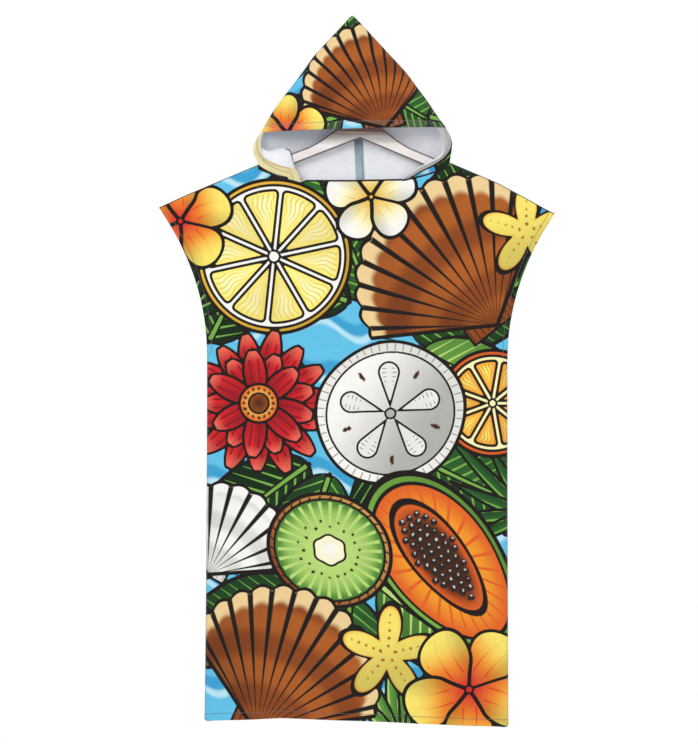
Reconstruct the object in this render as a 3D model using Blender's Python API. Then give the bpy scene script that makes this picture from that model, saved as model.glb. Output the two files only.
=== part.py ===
"""A hooded poncho of printed beach-towel cloth, hung on a wooden hanger.

Metres, +Z up, +X to the wearer's left as seen from the front, +Y to the back.
The origin is the inside top of the hook's crook, which hangs on a rail or a peg.
The poncho is cut as a front, a back and one rectangle for the hood. Front and back
meet edge to edge at the shoulder and side seams. The hood goes into the neck hole,
lapped behind the panels, and is folded over the crown and sewn down its back.
"""

import math

import bmesh
import bpy
import numpy as np

# Cloth.
CLOTH = 0.002
HEM_CLOTH = 0.003
HEM_DEPTH = 0.016
SEAM_GAP = 0.0003

# Body outline, seen from the front. The garment hangs a little to the left of the hook.
TIP_LEFT = (-0.397, -0.2535)
TIP_RIGHT = (0.384, -0.2653)
SIDE_LEFT_X = -0.302
SIDE_RIGHT_X = 0.291
HEM_LEFT_X = -0.307
HEM_RIGHT_X = 0.293
ARMHOLE_HEIGHT = 0.300
ARMHOLE_POWER = 2.15
HEM_DROP = 1.0145
NECK_LEFT = (-0.202, -0.169)
NECK_RIGHT = (0.178, -0.1645)

# Top edge of a panel: x, z, and the number of columns up to the next row.
TOP_EDGE = (
    (*TIP_LEFT, 1),
    (-0.393, -0.2515, 1),
    (-0.383, -0.2467, 1),
    (-0.3425, -0.228, 4),
    (*NECK_LEFT, 1),
    (-0.2014, -0.175, 1),
    (-0.187, -0.181, 1),
    (-0.154, -0.194, 1),
    (-0.117, -0.204, 1),
    (-0.106, -0.199, 3),
    (-0.016, -0.199, 3),
    (0.080, -0.197, 1),
    (0.087, -0.198, 1),
    (0.125, -0.189, 1),
    (0.162, -0.177, 1),
    (0.1774, -0.1705, 1),
    (*NECK_RIGHT, 3),
    (0.275, -0.206, 3),
    (0.370, -0.258, 1),
    (0.380, -0.2632, 1),
    (*TIP_RIGHT, 0),
)
# Columns from each shoulder seam to the corner where the hood's front edge ends.
CORNER_COLUMNS = 4
# The line of the shoulder seams, carried on across the neck: x, z.
RIDGE = (
    TIP_LEFT,
    (-0.3425, -0.228),
    NECK_LEFT,
    (-0.012, -0.089),
    NECK_RIGHT,
    (0.275, -0.206),
    TIP_RIGHT,
)
# The hem's edge, below the straight line between its two corners: x, rise.
HEM_RISE = ((-0.307, 0.0), (-0.158, 0.0095), (0.0, 0.0070), (0.154, 0.0035), (0.293, 0.0))
# Rows of a panel, as drops below its top edge, and the number of rows below the armhole.
SHOULDER_ROWS = (0.0, 0.0012, 0.0045, 0.012, 0.032, 0.062, 0.10, 0.14, 0.18, 0.22, 0.26)
ROWS_BELOW_ARMHOLE = 13

# Columns beside the armholes are drawn in with them. The middle ones follow lower down.
EDGE_SHARE = 0.2
EDGE_DROP = 0.10
RISE_DROP = 0.48

# Half the depth from front to back, at the shoulders' tent and down the body: drop, half depth.
TENT_DEPTH = 0.011
TENT_DROP = 0.012
CHEST_DROP = 0.20
HALF_DEPTH = ((0.0, 0.011), (0.25, 0.0145), (0.60, 0.0165), (1.10, 0.0190))
# The side seam's round edge, its share of the depth, and the run to the full depth.
CURL_WIDTH = 0.011
CURL_SHARE = 0.45
SIDE_RUN = 0.13
ARMHOLE_OPEN = 0.55
TIP_DROP = 0.03

# Large soft folds: x at the top, x at the hem, z where it starts, half width, height.
# Each grows over a run below its start, and fades towards the side edges.
FOLD_RUN = 0.22
FOLD_INSET = 0.08
FRONT_FOLDS = (
    (-0.232, -0.214, -0.30, 0.034, 0.0042),
    (-0.118, -0.142, -0.34, 0.030, -0.0028),
    (-0.062, -0.052, -0.78, 0.032, 0.0040),
    (0.030, 0.046, -0.62, 0.030, -0.0032),
    (0.098, 0.122, -0.30, 0.036, 0.0036),
    (0.214, 0.204, -0.38, 0.030, 0.0046),
)
BACK_FOLDS = (
    (-0.224, -0.238, -0.32, 0.032, 0.0044),
    (-0.140, -0.150, -0.60, 0.030, -0.0030),
    (-0.050, -0.078, -0.28, 0.036, 0.0040),
    (0.046, 0.030, -0.72, 0.030, 0.0036),
    (0.128, 0.112, -0.44, 0.034, -0.0030),
    (0.216, 0.226, -0.30, 0.032, 0.0040),
)

# Hood above the brim: left x, left z, right x, right z, front depth, back depth.
HOOD_ROWS = (
    (-0.0190, 0.1235, -0.0110, 0.1235, 0.0032, 0.0032),
    (-0.0330, 0.1089, 0.0034, 0.1089, 0.0075, 0.0060),
    (-0.0606, 0.0792, 0.0307, 0.0792, 0.0135, 0.0090),
    (-0.0897, 0.0475, 0.0600, 0.0475, 0.0205, 0.0120),
    (-0.1125, 0.0158, 0.0891, 0.0158, 0.0280, 0.0148),
    (-0.1366, -0.0158, 0.1129, -0.0158, 0.0360, 0.0170),
    (-0.1578, -0.0436, 0.1319, -0.0410, 0.0430, 0.0185),
    (-0.1768, -0.0713, 0.1485, -0.0660, 0.0485, 0.0195),
    (-0.1950, -0.1040, 0.1690, -0.0940, 0.0530, 0.0200),
)
HOOD_PEAK = (-0.015, 0.0, 0.1262)
FRONT_STEPS = 15
BACK_STEPS = 21
FACE_STEP_LEFT = 1
FACE_STEP_RIGHT = 2
LOWER_ROWS = 7
FACE_BOW_FADE = 9
BACK_BELLY = 0.005
SIDE_BELLY = (0.012, 0.003)
SIDE_BELLY_PLACE = 0.13
SIDE_BELLY_WIDTH = 0.09
LAP = 0.003
ARM_CLEARANCE = 0.0016
ARM_CROSSING = 0.009
LAP_RUN = 0.002
# Edges of the face opening, from the brim's end down to the corner of the neck: x, y, z.
FACE_LEFT = (
    (-0.197, -0.018, -0.123),
    (-0.190, -0.023, -0.152),
    (-0.160, -0.0225, -0.1690),
    (-0.128, -0.0215, -0.1785),
)
FACE_RIGHT = ((0.166, -0.021, -0.125), (0.160, -0.024, -0.152), (0.118, -0.0225, -0.175))
# The centre-back seam allowance, pressed open on the hood's inner side.
ALLOWANCE_WIDTH = 0.016
ALLOWANCE_THICKNESS = 0.001
ALLOWANCE_INSET = CLOTH / 2 + ALLOWANCE_THICKNESS / 2 + 0.0005
ALLOWANCE_FIRST_ROW = 3
SEAM_LEAN = 0.049

# Hanger: a flat piece of wood with a steel hook.
WOOD_THICKNESS = 0.010
WOOD_BEVEL = 0.0028
WOOD_TILT = math.radians(0.8)
WOOD_APEX_Z = -0.1155
ARM_END_X = 0.228
ARM_TOP_SLOPE = 0.41
ARM_TOP_Z = -0.0926
ARM_BOTTOM_SLOPE = 0.405
ARM_END_ROUND = 0.92
COLLAR_TOP_Z = -0.071
# The collar's hollow side, a curve from its top corner down to the arm: x, z.
COLLAR_CURVE = ((0.013, -0.071), (0.033, -0.083), (0.075, -0.1287), (0.118, -0.1410))
WIRE_RADIUS = 0.0018
CROOK_RADIUS = 0.0188
CROOK_START = math.radians(-38)
CROOK_END = math.radians(208)
# The wire below the crook, from the collar up through a bend to one side: x, height.
SHANK = ((0.0, 0.0), (0.0, 0.014), (0.0018, 0.024), (0.0075, 0.034))


def clear_scene():
    for obj in list(bpy.data.objects):
        bpy.data.objects.remove(obj)


def make_material(name, colour, roughness, metallic=0.0):
    material = bpy.data.materials.new(name)
    material.use_nodes = True
    shader = material.node_tree.nodes["Principled BSDF"]
    shader.inputs["Base Color"].default_value = (*colour, 1.0)
    shader.inputs["Roughness"].default_value = roughness
    shader.inputs["Metallic"].default_value = metallic
    return material


def add_object(name, mesh, material):
    mesh.materials.append(material)
    obj = bpy.data.objects.new(name, mesh)
    bpy.context.scene.collection.objects.link(obj)
    return obj


def smooth(value):
    """A soft step, 0 to 1 as value goes from 0 to 1."""
    value = np.clip(value, 0.0, 1.0)
    return value * value * (3.0 - 2.0 * value)


def quarter_round(value):
    """The height of a quarter circle, 0 to 1 as value goes from 0 to 1."""
    return np.sqrt(1.0 - (1.0 - np.clip(value, 0.0, 1.0)) ** 2)


def smooth_path(points, count):
    """count + 1 points along a smooth curve through points, evenly spaced by its length."""
    points = np.array(points, float)
    padded = np.vstack([2 * points[0] - points[1], points, 2 * points[-1] - points[-2]])
    curve = [points[0]]
    for a, b, c, d in zip(padded, padded[1:], padded[2:], padded[3:]):
        for t in np.linspace(0.1, 1.0, 10):
            cubic = (2 * b + (c - a) * t + (2 * a - 5 * b + 4 * c - d) * t**2)
            curve.append(0.5 * (cubic + (3 * b - a - 3 * c + d) * t**3))
    curve = np.array(curve)
    steps = np.linalg.norm(np.diff(curve, axis=0), axis=1)
    along = np.concatenate([[0.0], np.cumsum(steps)])
    wanted = np.linspace(0.0, along[-1], count + 1)
    return np.stack([np.interp(wanted, along, axis) for axis in curve.T], axis=1)


def vertex_normals(points, faces):
    normals = np.zeros_like(points)
    for face in faces:
        corners = points[list(face)]
        normal = np.cross(corners[2] - corners[0], corners[-1] - corners[1])
        if len(face) == 3:
            normal = np.cross(corners[1] - corners[0], corners[2] - corners[0])
        for index in face:
            normals[index] += normal
    return normals / np.linalg.norm(normals, axis=1)[:, None]


def open_edges(faces):
    """The edges that one face uses, each in that face's direction."""
    edges = set()
    for face in faces:
        for start, end in zip(face, face[1:] + face[:1]):
            if (end, start) in edges:
                edges.remove((end, start))
            else:
                edges.add((start, end))
    return sorted(edges)


def cloth_solid(name, points, faces, normals, thickness, material):
    """A closed wall of the given thickness, half on each side of the sheet of points."""
    outer = points + normals * thickness[:, None] / 2
    inner = points - normals * thickness[:, None] / 2
    count = len(points)
    walls = [tuple(face) for face in faces]
    walls += [tuple(count + index for index in reversed(face)) for face in faces]
    walls += [(end, start, count + start, count + end) for start, end in open_edges(faces)]
    mesh = bpy.data.meshes.new(name)
    mesh.from_pydata(np.vstack([outer, inner]).tolist(), [], walls)
    mesh.validate()
    mesh.shade_smooth()
    mesh.set_sharp_from_angle(angle=math.radians(50))
    return add_object(name, mesh, material)


def grid_faces(rows, columns):
    """Quads of a grid whose points run along each row in turn."""
    faces = []
    for row in range(rows - 1):
        for column in range(columns - 1):
            first = row * columns + column
            faces.append((first, first + 1, first + columns + 1, first + columns))
    return faces


def top_edge_columns():
    """x and z of each column at a panel's top edge."""
    columns = []
    for (x, z, steps), (next_x, next_z, _) in zip(TOP_EDGE, TOP_EDGE[1:]):
        for step in range(steps):
            share = step / steps
            columns.append((x + (next_x - x) * share, z + (next_z - z) * share))
    columns.append(TIP_RIGHT)
    return np.array(columns)


def panel_rows():
    below = np.linspace(ARMHOLE_HEIGHT, HEM_DROP, ROWS_BELOW_ARMHOLE + 1)
    return np.concatenate([SHOULDER_ROWS, below])


def side_x(drop, tip_x, side_x_value, hem_x):
    """x of the armhole and side edge, at a drop below the sleeve's tip."""
    reach = np.clip(1.0 - drop / ARMHOLE_HEIGHT, 0.0, 1.0) ** ARMHOLE_POWER
    down = np.clip((drop - ARMHOLE_HEIGHT) / (HEM_DROP - ARMHOLE_HEIGHT), 0.0, 1.0)
    return side_x_value + (tip_x - side_x_value) * reach + (hem_x - side_x_value) * down**2


def fold_height(x, z, folds):
    hem_z = TIP_LEFT[1] - HEM_DROP
    total = np.zeros_like(x)
    for top_x, hem_x, start_z, half_width, height in folds:
        along = np.clip((start_z - z) / (start_z - hem_z), 0.0, 1.0)
        middle = top_x + (hem_x - top_x) * along
        across = np.exp(-(((x - middle) / half_width) ** 2))
        total = total + height * across * smooth((start_z - z) / FOLD_RUN)
    return total


def panel_points(side, folds):
    """Rows and columns of points of one panel. side is -1 for the front and 1 for the back."""
    columns = top_edge_columns()
    drops = panel_rows()[:, None]
    share = (columns[:, 0] - TIP_LEFT[0]) / (TIP_RIGHT[0] - TIP_LEFT[0])
    tip_z = TIP_LEFT[1] + (TIP_RIGHT[1] - TIP_LEFT[1]) * share
    # How far each point lies below the line between the sleeves' tips.
    fall = drops - (columns[:, 1] - tip_z) * (1.0 - smooth(drops / RISE_DROP))
    left_x = side_x(fall, TIP_LEFT[0], SIDE_LEFT_X, HEM_LEFT_X)
    right_x = side_x(fall, TIP_RIGHT[0], SIDE_RIGHT_X, HEM_RIGHT_X)
    drawn_in = (left_x - TIP_LEFT[0]) * (1.0 - share) + (right_x - TIP_RIGHT[0]) * share
    near_edge = 1.0 - smooth(np.minimum(share, 1.0 - share) / EDGE_SHARE)
    x = columns[:, 0] + drawn_in * np.maximum(near_edge, smooth(fall / EDGE_DROP))
    hem_rise = np.interp(x, *zip(*HEM_RISE)) * smooth(drops / HEM_DROP * 2.0 - 1.0)
    z = tip_z - fall + hem_rise
    below_ridge = np.interp(x, *zip(*RIDGE)) - z
    half_depth = np.interp(fall, *zip(*HALF_DEPTH))
    tent = TENT_DEPTH * quarter_round(below_ridge / TENT_DROP)
    tent = tent + (half_depth - TENT_DEPTH) * smooth(below_ridge / CHEST_DROP)
    inset = np.minimum(x - left_x, right_x - x)
    armhole = np.sin(np.pi * np.clip(fall / ARMHOLE_HEIGHT, 0.0, 1.0)) ** 0.5
    seam = CURL_SHARE * quarter_round(inset / CURL_WIDTH)
    seam = seam + (1.0 - CURL_SHARE) * smooth(inset / SIDE_RUN)
    open_edge = ARMHOLE_OPEN + (1.0 - ARMHOLE_OPEN) * smooth(inset / SIDE_RUN)
    armhole = np.maximum(armhole, smooth(1.0 - fall / TIP_DROP))
    across = seam * (1.0 - armhole) + open_edge * armhole
    depth = tent * across + fold_height(x, z, folds) * smooth(inset / FOLD_INSET)
    depth = np.maximum(depth, 0.0) + SEAM_GAP / 2
    return np.stack([x, side * depth, z], axis=2)


def hem_thickness(points):
    """Cloth thickness of a panel, with its turned hem along the bottom."""
    rise = points[:, :, 2] - points[-1:, :, 2]
    return CLOTH + (HEM_CLOTH - CLOTH) * (rise < HEM_DEPTH)


def build_panel(name, side, folds, material):
    points = panel_points(side, folds)
    rows, columns = points.shape[:2]
    faces = grid_faces(rows, columns)
    if side > 0:
        faces = [face[::-1] for face in faces]
    flat = points.reshape(-1, 3)
    normals = vertex_normals(flat, faces).reshape(points.shape)
    normals = turn_seam_normals(points, normals)
    thickness = hem_thickness(points).reshape(-1)
    cloth_solid(name, flat, faces, normals.reshape(-1, 3), thickness, material)
    return points


def turn_seam_normals(points, normals):
    """Turns the wall at the shoulder and side seams so that its edge faces the other panel."""
    seam = np.abs(points[:, :, 1]) < SEAM_GAP
    turned = np.where(seam[:, :, None], normals * (1.0, 0.0, 1.0), normals)
    return turned / np.linalg.norm(turned, axis=2)[:, :, None]


def hood_ring(left_x, left_z, right_x, right_z, front, back):
    """One row around the hood: the front from left to right, then the back to the left."""
    front_turn = np.linspace(0.0, math.pi, FRONT_STEPS + 1)[:-1]
    back_turn = math.pi + np.linspace(0.0, math.pi, BACK_STEPS + 1)[:-1]
    turn = np.concatenate([front_turn, back_turn])
    share = (1.0 - np.cos(turn)) / 2
    depth = np.where(turn < math.pi, front, back)
    x = left_x + (right_x - left_x) * share
    z = left_z + (right_z - left_z) * share
    return np.stack([x, -depth * np.sin(turn), z], axis=1)


def neck_loop(front_points, back_points):
    """Points around the neck hole, from the left front corner by the back to the right one."""
    xs = front_points[0, :, 0]
    left = int(np.argmin(np.abs(xs - NECK_LEFT[0])))
    right = int(np.argmin(np.abs(xs - NECK_RIGHT[0])))
    front_left = front_points[0, left + 1 : left + 1 + CORNER_COLUMNS][::-1]
    front_right = front_points[0, right - CORNER_COLUMNS : right][::-1]
    shoulder_left = front_points[0, left] * (1.0, 0.0, 1.0)
    shoulder_right = front_points[0, right] * (1.0, 0.0, 1.0)
    across = back_points[0, left + 1 : right]
    return np.vstack([front_left, shoulder_left, across, shoulder_right, front_right])


def inward(loop):
    """The horizontal direction into the neck hole at each point of the loop."""
    along = np.gradient(loop, axis=0)
    direction = np.stack([along[:, 1], -along[:, 0], np.zeros(len(loop))], axis=1)
    return direction / np.linalg.norm(direction, axis=1)[:, None]


def hood_neck_rows(loop):
    """The hood's two lowest rows, just inside the neck hole: above its edge and lapped below it."""
    above = loop + inward(loop) * (CLOTH + SEAM_GAP)
    below = above.copy()
    off_the_arm = smooth((np.abs(loop[:, 1]) - ARM_CROSSING) / LAP_RUN)
    above[:, 2] += LAP
    below[:, 2] += ARM_CLEARANCE - LAP * off_the_arm
    return above, below


def lower_patch(top, bottom, left, right):
    """Rows and columns between four edges. The bow of the two side edges fades inward."""
    across = np.linspace(0.0, 1.0, len(top))[None, :, None]
    down = np.linspace(0.0, 1.0, len(left))[:, None, None]
    ruled = (1 - down) * top[None] + down * bottom[None]
    bow_left = (left[:, None] - ruled[:, :1]) * (1 - across) ** FACE_BOW_FADE
    bow_right = (right[:, None] - ruled[:, -1:]) * across**FACE_BOW_FADE
    belly = BACK_BELLY * np.sin(np.pi * down) * np.sin(np.pi * across) * (0.0, 1.0, 0.0)
    near_left = np.exp(-(((across - SIDE_BELLY_PLACE) / SIDE_BELLY_WIDTH) ** 2))
    near_right = np.exp(-(((1 - across - SIDE_BELLY_PLACE) / SIDE_BELLY_WIDTH) ** 2))
    spread = SIDE_BELLY[1] * near_right - SIDE_BELLY[0] * near_left
    sides = spread * np.sin(np.pi * down) * (1.0, 0.0, 0.0)
    return ruled + bow_left + bow_right + belly + sides


def hood_sheet(loop):
    """Points and faces of the hood, and the rows of its part below the brim.

    Rings run from the crown to the brim. Below the brim each row is open in front.
    """
    rings = [hood_ring(*row) for row in HOOD_ROWS]
    around = len(rings[0])
    points = [np.array([HOOD_PEAK])] + rings
    faces = []
    for column in range(around):
        following = (column + 1) % around
        faces.append((0, 1 + column, 1 + following))
        for row in range(len(rings) - 1):
            first = 1 + row * around
            second = first + around
            faces.append((first + column, second + column, second + following, first + following))
    brim = 1 + (len(rings) - 1) * around
    steps = range(-(around - FRONT_STEPS) - FACE_STEP_RIGHT, FACE_STEP_LEFT + 1)
    order = [(step + around) % around for step in reversed(steps)]
    top = rings[-1][order]
    above, below = hood_neck_rows(loop)
    left = smooth_path([top[0], *FACE_LEFT, above[0]], LOWER_ROWS)
    right = smooth_path([top[-1], *FACE_RIGHT, above[-1]], LOWER_ROWS)
    patch = np.concatenate([lower_patch(top, above, left, right), below[None]])
    previous = [brim + index for index in order]
    start = brim + around
    for row in range(1, len(patch)):
        points.append(patch[row])
        current = list(range(start, start + len(order)))
        for column in range(len(order) - 1):
            upper = (previous[column], previous[column + 1])
            faces.append((*upper, current[column + 1], current[column]))
        previous = current
        start += len(order)
    return np.vstack(points), faces, patch


def build_hood(loop, material):
    points, faces, patch = hood_sheet(loop)
    normals = vertex_normals(points, faces)
    normals[-2 * len(loop) :] = np.tile(-inward(loop), (2, 1))
    thickness = np.full(len(points), CLOTH)
    cloth_solid("hood", points, faces, normals, thickness, material)
    return patch


def seam_x(z):
    """x of the centre-back seam at a height: it leans a little from the crown to the neck."""
    return HOOD_PEAK[0] + (HOOD_PEAK[2] - z) * SEAM_LEAN


def build_allowance(patch, material):
    """The seam allowance down the inside of the hood's back, from the crown to the neck."""
    rings = [hood_ring(*row)[FRONT_STEPS:] for row in HOOD_ROWS[ALLOWANCE_FIRST_ROW:]]
    rows = []
    for row in rings + list(patch[1:-1]):
        row = row[np.argsort(row[:, 0])]
        middle = seam_x(np.interp(seam_x(row[0, 2]), row[:, 0], row[:, 2]))
        for offset in (-0.5, 0.0, 0.5):
            x = middle + offset * ALLOWANCE_WIDTH
            y = np.interp(x, row[:, 0], row[:, 1]) - ALLOWANCE_INSET
            rows.append((x, y, np.interp(x, row[:, 0], row[:, 2])))
    points = np.array(rows)
    faces = [face[::-1] for face in grid_faces(len(points) // 3, 3)]
    normals = np.tile((0.0, -1.0, 0.0), (len(points), 1))
    thickness = np.full(len(points), ALLOWANCE_THICKNESS)
    cloth_solid("hood_seam_allowance", points, faces, normals, thickness, material)


def collar_curve(count):
    """Points of the cubic curve from the collar's top corner to its foot on the arm."""
    a, b, c, d = np.array(COLLAR_CURVE)
    t = np.linspace(0.0, 1.0, count + 1)[:, None]
    curve = (1 - t) ** 3 * a + 3 * t * (1 - t) ** 2 * b + 3 * t * t * (1 - t) * c + t**3 * d
    return [tuple(point) for point in curve]


def wood_outline():
    """Half of the hanger's outline, from the collar's top middle round the arm to the apex."""
    top_z = ARM_TOP_Z - ARM_TOP_SLOPE * ARM_END_X
    bottom_z = WOOD_APEX_Z - ARM_BOTTOM_SLOPE * ARM_END_X
    radius = (top_z - bottom_z) / 2 * ARM_END_ROUND
    middle_z = (top_z + bottom_z) / 2
    lean = math.atan(ARM_TOP_SLOPE)
    arm_end = []
    for turn in np.linspace(math.pi / 2 - lean, -math.pi / 2 - lean, 7):
        place = (ARM_END_X + radius * math.cos(turn), middle_z + radius * math.sin(turn))
        arm_end.append(place)
    return [(0.0, COLLAR_TOP_Z), *collar_curve(8), *arm_end, (0.0, WOOD_APEX_Z)]


def build_wood(material):
    half = wood_outline()
    outline = half + [(-x, z) for x, z in reversed(half[1:-1])]
    shape = bmesh.new()
    vertices = [shape.verts.new((x, -WOOD_THICKNESS / 2, z)) for x, z in outline]
    face = shape.faces.new(vertices)
    pushed = bmesh.ops.extrude_face_region(shape, geom=[face])
    moved = [item for item in pushed["geom"] if isinstance(item, bmesh.types.BMVert)]
    bmesh.ops.translate(shape, verts=moved, vec=(0.0, WOOD_THICKNESS, 0.0))
    bmesh.ops.recalc_face_normals(shape, faces=shape.faces)
    mesh = bpy.data.meshes.new("hanger_wood")
    shape.to_mesh(mesh)
    shape.free()
    mesh.shade_smooth()
    mesh.set_sharp_from_angle(angle=math.radians(35))
    wood = add_object("hanger_wood", mesh, material)
    bevel = wood.modifiers.new("rounded_edges", "BEVEL")
    bevel.width = WOOD_BEVEL
    bevel.segments = 2
    bevel.limit_method = "ANGLE"
    bevel.angle_limit = math.radians(60)
    for vertex in mesh.vertices:
        vertex.co.z -= WOOD_APEX_Z
    wood.location = (0.0, 0.0, WOOD_APEX_Z)
    wood.rotation_euler = (0.0, WOOD_TILT, 0.0)


def hook_path():
    """The wire's centre line: shank, a bend to one side, and the crook over the top."""
    centre_z = WIRE_RADIUS - CROOK_RADIUS
    path = [(x, 0.0, COLLAR_TOP_Z + SEAM_GAP + height) for x, height in SHANK]
    for turn in np.linspace(CROOK_START, CROOK_END, 18):
        x = CROOK_RADIUS * math.cos(turn)
        path.append((x, 0.0, centre_z + CROOK_RADIUS * math.sin(turn)))
    return smooth_path(path, 36)


def build_hook(material):
    curve = bpy.data.curves.new("hanger_hook", "CURVE")
    curve.dimensions = "3D"
    curve.bevel_depth = WIRE_RADIUS
    curve.bevel_resolution = 2
    curve.use_fill_caps = True
    path = hook_path()
    spline = curve.splines.new("POLY")
    spline.points.add(len(path) - 1)
    for point, place in zip(spline.points, path):
        point.co = (*place, 1.0)
    add_object("hanger_hook", curve, material)


def main():
    clear_scene()
    cloth = make_material("printed_towel", (0.62, 0.42, 0.16), 0.85)
    lining = make_material("towel_inside", (0.86, 0.88, 0.92), 0.9)
    wood = make_material("pale_wood", (0.83, 0.72, 0.66), 0.5)
    steel = make_material("hook_steel", (0.75, 0.75, 0.77), 0.25, 1.0)
    front = build_panel("body_front", -1, FRONT_FOLDS, cloth)
    back = build_panel("body_back", 1, BACK_FOLDS, cloth)
    patch = build_hood(neck_loop(front, back), cloth)
    build_allowance(patch, lining)
    build_wood(wood)
    build_hook(steel)


main()
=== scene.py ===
"""Looks of the hooded poncho of printed beach-towel cloth on its wooden hanger.

The front, the back and the hood are thin shells of cloth on the same forms as their CAD
solids, with turned hems, stitching and soft creases. The print is painted on the flat
cloth, as colours and inked lines at the shells' points. Metres, +Z up, the front faces -Y.
"""

import math

import bpy
import numpy as np
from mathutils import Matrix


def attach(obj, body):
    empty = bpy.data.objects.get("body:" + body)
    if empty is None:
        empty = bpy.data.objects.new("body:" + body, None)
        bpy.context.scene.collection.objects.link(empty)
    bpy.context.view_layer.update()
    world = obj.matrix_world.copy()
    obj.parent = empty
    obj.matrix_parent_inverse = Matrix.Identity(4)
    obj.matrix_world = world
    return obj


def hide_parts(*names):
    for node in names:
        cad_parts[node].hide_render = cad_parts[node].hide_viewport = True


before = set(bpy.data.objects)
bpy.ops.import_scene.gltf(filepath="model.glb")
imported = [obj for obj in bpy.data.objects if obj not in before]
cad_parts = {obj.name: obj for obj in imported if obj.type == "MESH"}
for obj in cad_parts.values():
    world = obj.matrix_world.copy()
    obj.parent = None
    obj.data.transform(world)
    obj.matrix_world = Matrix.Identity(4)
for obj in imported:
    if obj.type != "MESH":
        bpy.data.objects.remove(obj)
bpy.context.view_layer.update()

# Cloth.
CLOTH = 0.0018
CAD_CLOTH = 0.002
HEM_CLOTH = 0.0030
HEM_DEPTH = 0.016
HEM_STEP = 0.0012
STITCH_INSET = 0.0135
HEM_CORNER = 0.005
ARMHOLE_HEM = 0.012
ARMHOLE_STITCH = 0.0098
STITCH_DIP_WIDTH = 0.0011
SEAM_GAP = 0.0003
EDGE_BULGE = 0.0005
EDGE_FREE = 0.002
HEM_OUTSIDE = 0.25
STITCH_DEPTH = 0.0004
STITCH_PITCH = 0.0040
STITCH_LENGTH = 0.0031
STITCH_RISE = 0.00045
THREAD_RADIUS = 0.00034
THREAD_RINGS = 5
THREAD_SIDES = 6
FAR_FROM_SEAM = 0.1

# Body outline, as in the CAD source.
TIP_LEFT = (-0.397, -0.2535)
TIP_RIGHT = (0.384, -0.2653)
SIDE_LEFT_X = -0.302
SIDE_RIGHT_X = 0.291
HEM_LEFT_X = -0.307
HEM_RIGHT_X = 0.293
ARMHOLE_HEIGHT = 0.300
ARMHOLE_POWER = 2.15
HEM_DROP = 1.0145
NECK_LEFT = (-0.202, -0.169)
NECK_RIGHT = (0.178, -0.1645)
# Top edge of a panel: x, z, and the number of coarse columns up to the next row.
TOP_EDGE = (
    (*TIP_LEFT, 1),
    (-0.393, -0.2515, 1),
    (-0.383, -0.2467, 1),
    (-0.3425, -0.228, 4),
    (*NECK_LEFT, 1),
    (-0.2014, -0.175, 1),
    (-0.187, -0.181, 1),
    (-0.154, -0.194, 1),
    (-0.117, -0.204, 1),
    (-0.106, -0.199, 3),
    (-0.016, -0.199, 3),
    (0.080, -0.197, 1),
    (0.087, -0.198, 1),
    (0.125, -0.189, 1),
    (0.162, -0.177, 1),
    (0.1774, -0.1705, 1),
    (*NECK_RIGHT, 3),
    (0.275, -0.206, 3),
    (0.370, -0.258, 1),
    (0.380, -0.2632, 1),
    (*TIP_RIGHT, 0),
)
CORNER_COLUMNS = 4
RIDGE = (
    TIP_LEFT,
    (-0.3425, -0.228),
    NECK_LEFT,
    (-0.012, -0.089),
    NECK_RIGHT,
    (0.275, -0.206),
    TIP_RIGHT,
)
HEM_RISE = ((-0.307, 0.0), (-0.158, 0.0095), (0.0, 0.0070), (0.154, 0.0035), (0.293, 0.0))
COLUMN_SPACING = 0.0032
ROW_SPACING = 0.00285
FIRST_DROPS = (0.0, 0.0006, 0.0013, 0.0022, 0.0033, 0.0048, 0.0066, 0.0086, 0.0108)
# Rows near the hem, as heights above its edge.
HEM_ROWS = (0.0216, 0.0190, 0.0172, 0.0160, 0.0149, 0.0135, 0.0121, 0.0098, 0.0068, 0.0038,
            0.0016, 0.0005, 0.0)
INNER_STRIDE = 4
CURVE_STEPS = 10

EDGE_SHARE = 0.2
EDGE_DROP = 0.10
RISE_DROP = 0.48
TENT_DEPTH = 0.011
TENT_DROP = 0.012
CHEST_DROP = 0.20
HALF_DEPTH = ((0.0, 0.011), (0.25, 0.0145), (0.60, 0.0165), (1.10, 0.0190))
CURL_WIDTH = 0.011
CURL_SHARE = 0.45
SIDE_RUN = 0.13
ARMHOLE_OPEN = 0.55
TIP_DROP = 0.03

# Print. The lines are no finer than the cloth's rows of points can carry.
OUTLINE = 0.0068
LINE = 0.0052
FINE_LINE = 0.0041
VEIN_LEAN = 0.75
VEIN_SPACING = 0.016
VEINS = 17
RIND = 0.011
PITH = 0.010
SEED_SPACING = 0.0165
SEED_RADIUS = 0.0072
# Thin dark lines along a panel's top edge, at the neck and at the shoulders: print outline and
# painted seam shadow.
NECK_INK_AND_SHADOW = 0.0030
SHOULDER_INK_AND_SHADOW = 0.0018
BRIM_PALE = 0.05
# How far from an outline its ink still counts when a quad is split, and the step in it that
# counts as much as black beside a full colour.
INK_REACH = 0.004
INK_STEP = 0.001
# How softly the ink and the thin lines end: metres, and a share of a line's spacing.
INK_BLEED = 0.0004
HATCH_BLEED = 0.05


# The curve between everyday colour values and linear ones.
SRGB_KNEE = 0.04045
SRGB_SLOPE = 12.92
SRGB_OFFSET = 0.055
SRGB_POWER = 2.4


def ink_colour(red, green, blue):
    """A linear colour from its everyday 0 to 255 values."""
    share = np.array((red, green, blue)) / 255.0
    curve = ((share + SRGB_OFFSET) / (1 + SRGB_OFFSET)) ** SRGB_POWER
    return np.where(share <= SRGB_KNEE, share / SRGB_SLOPE, curve)


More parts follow.
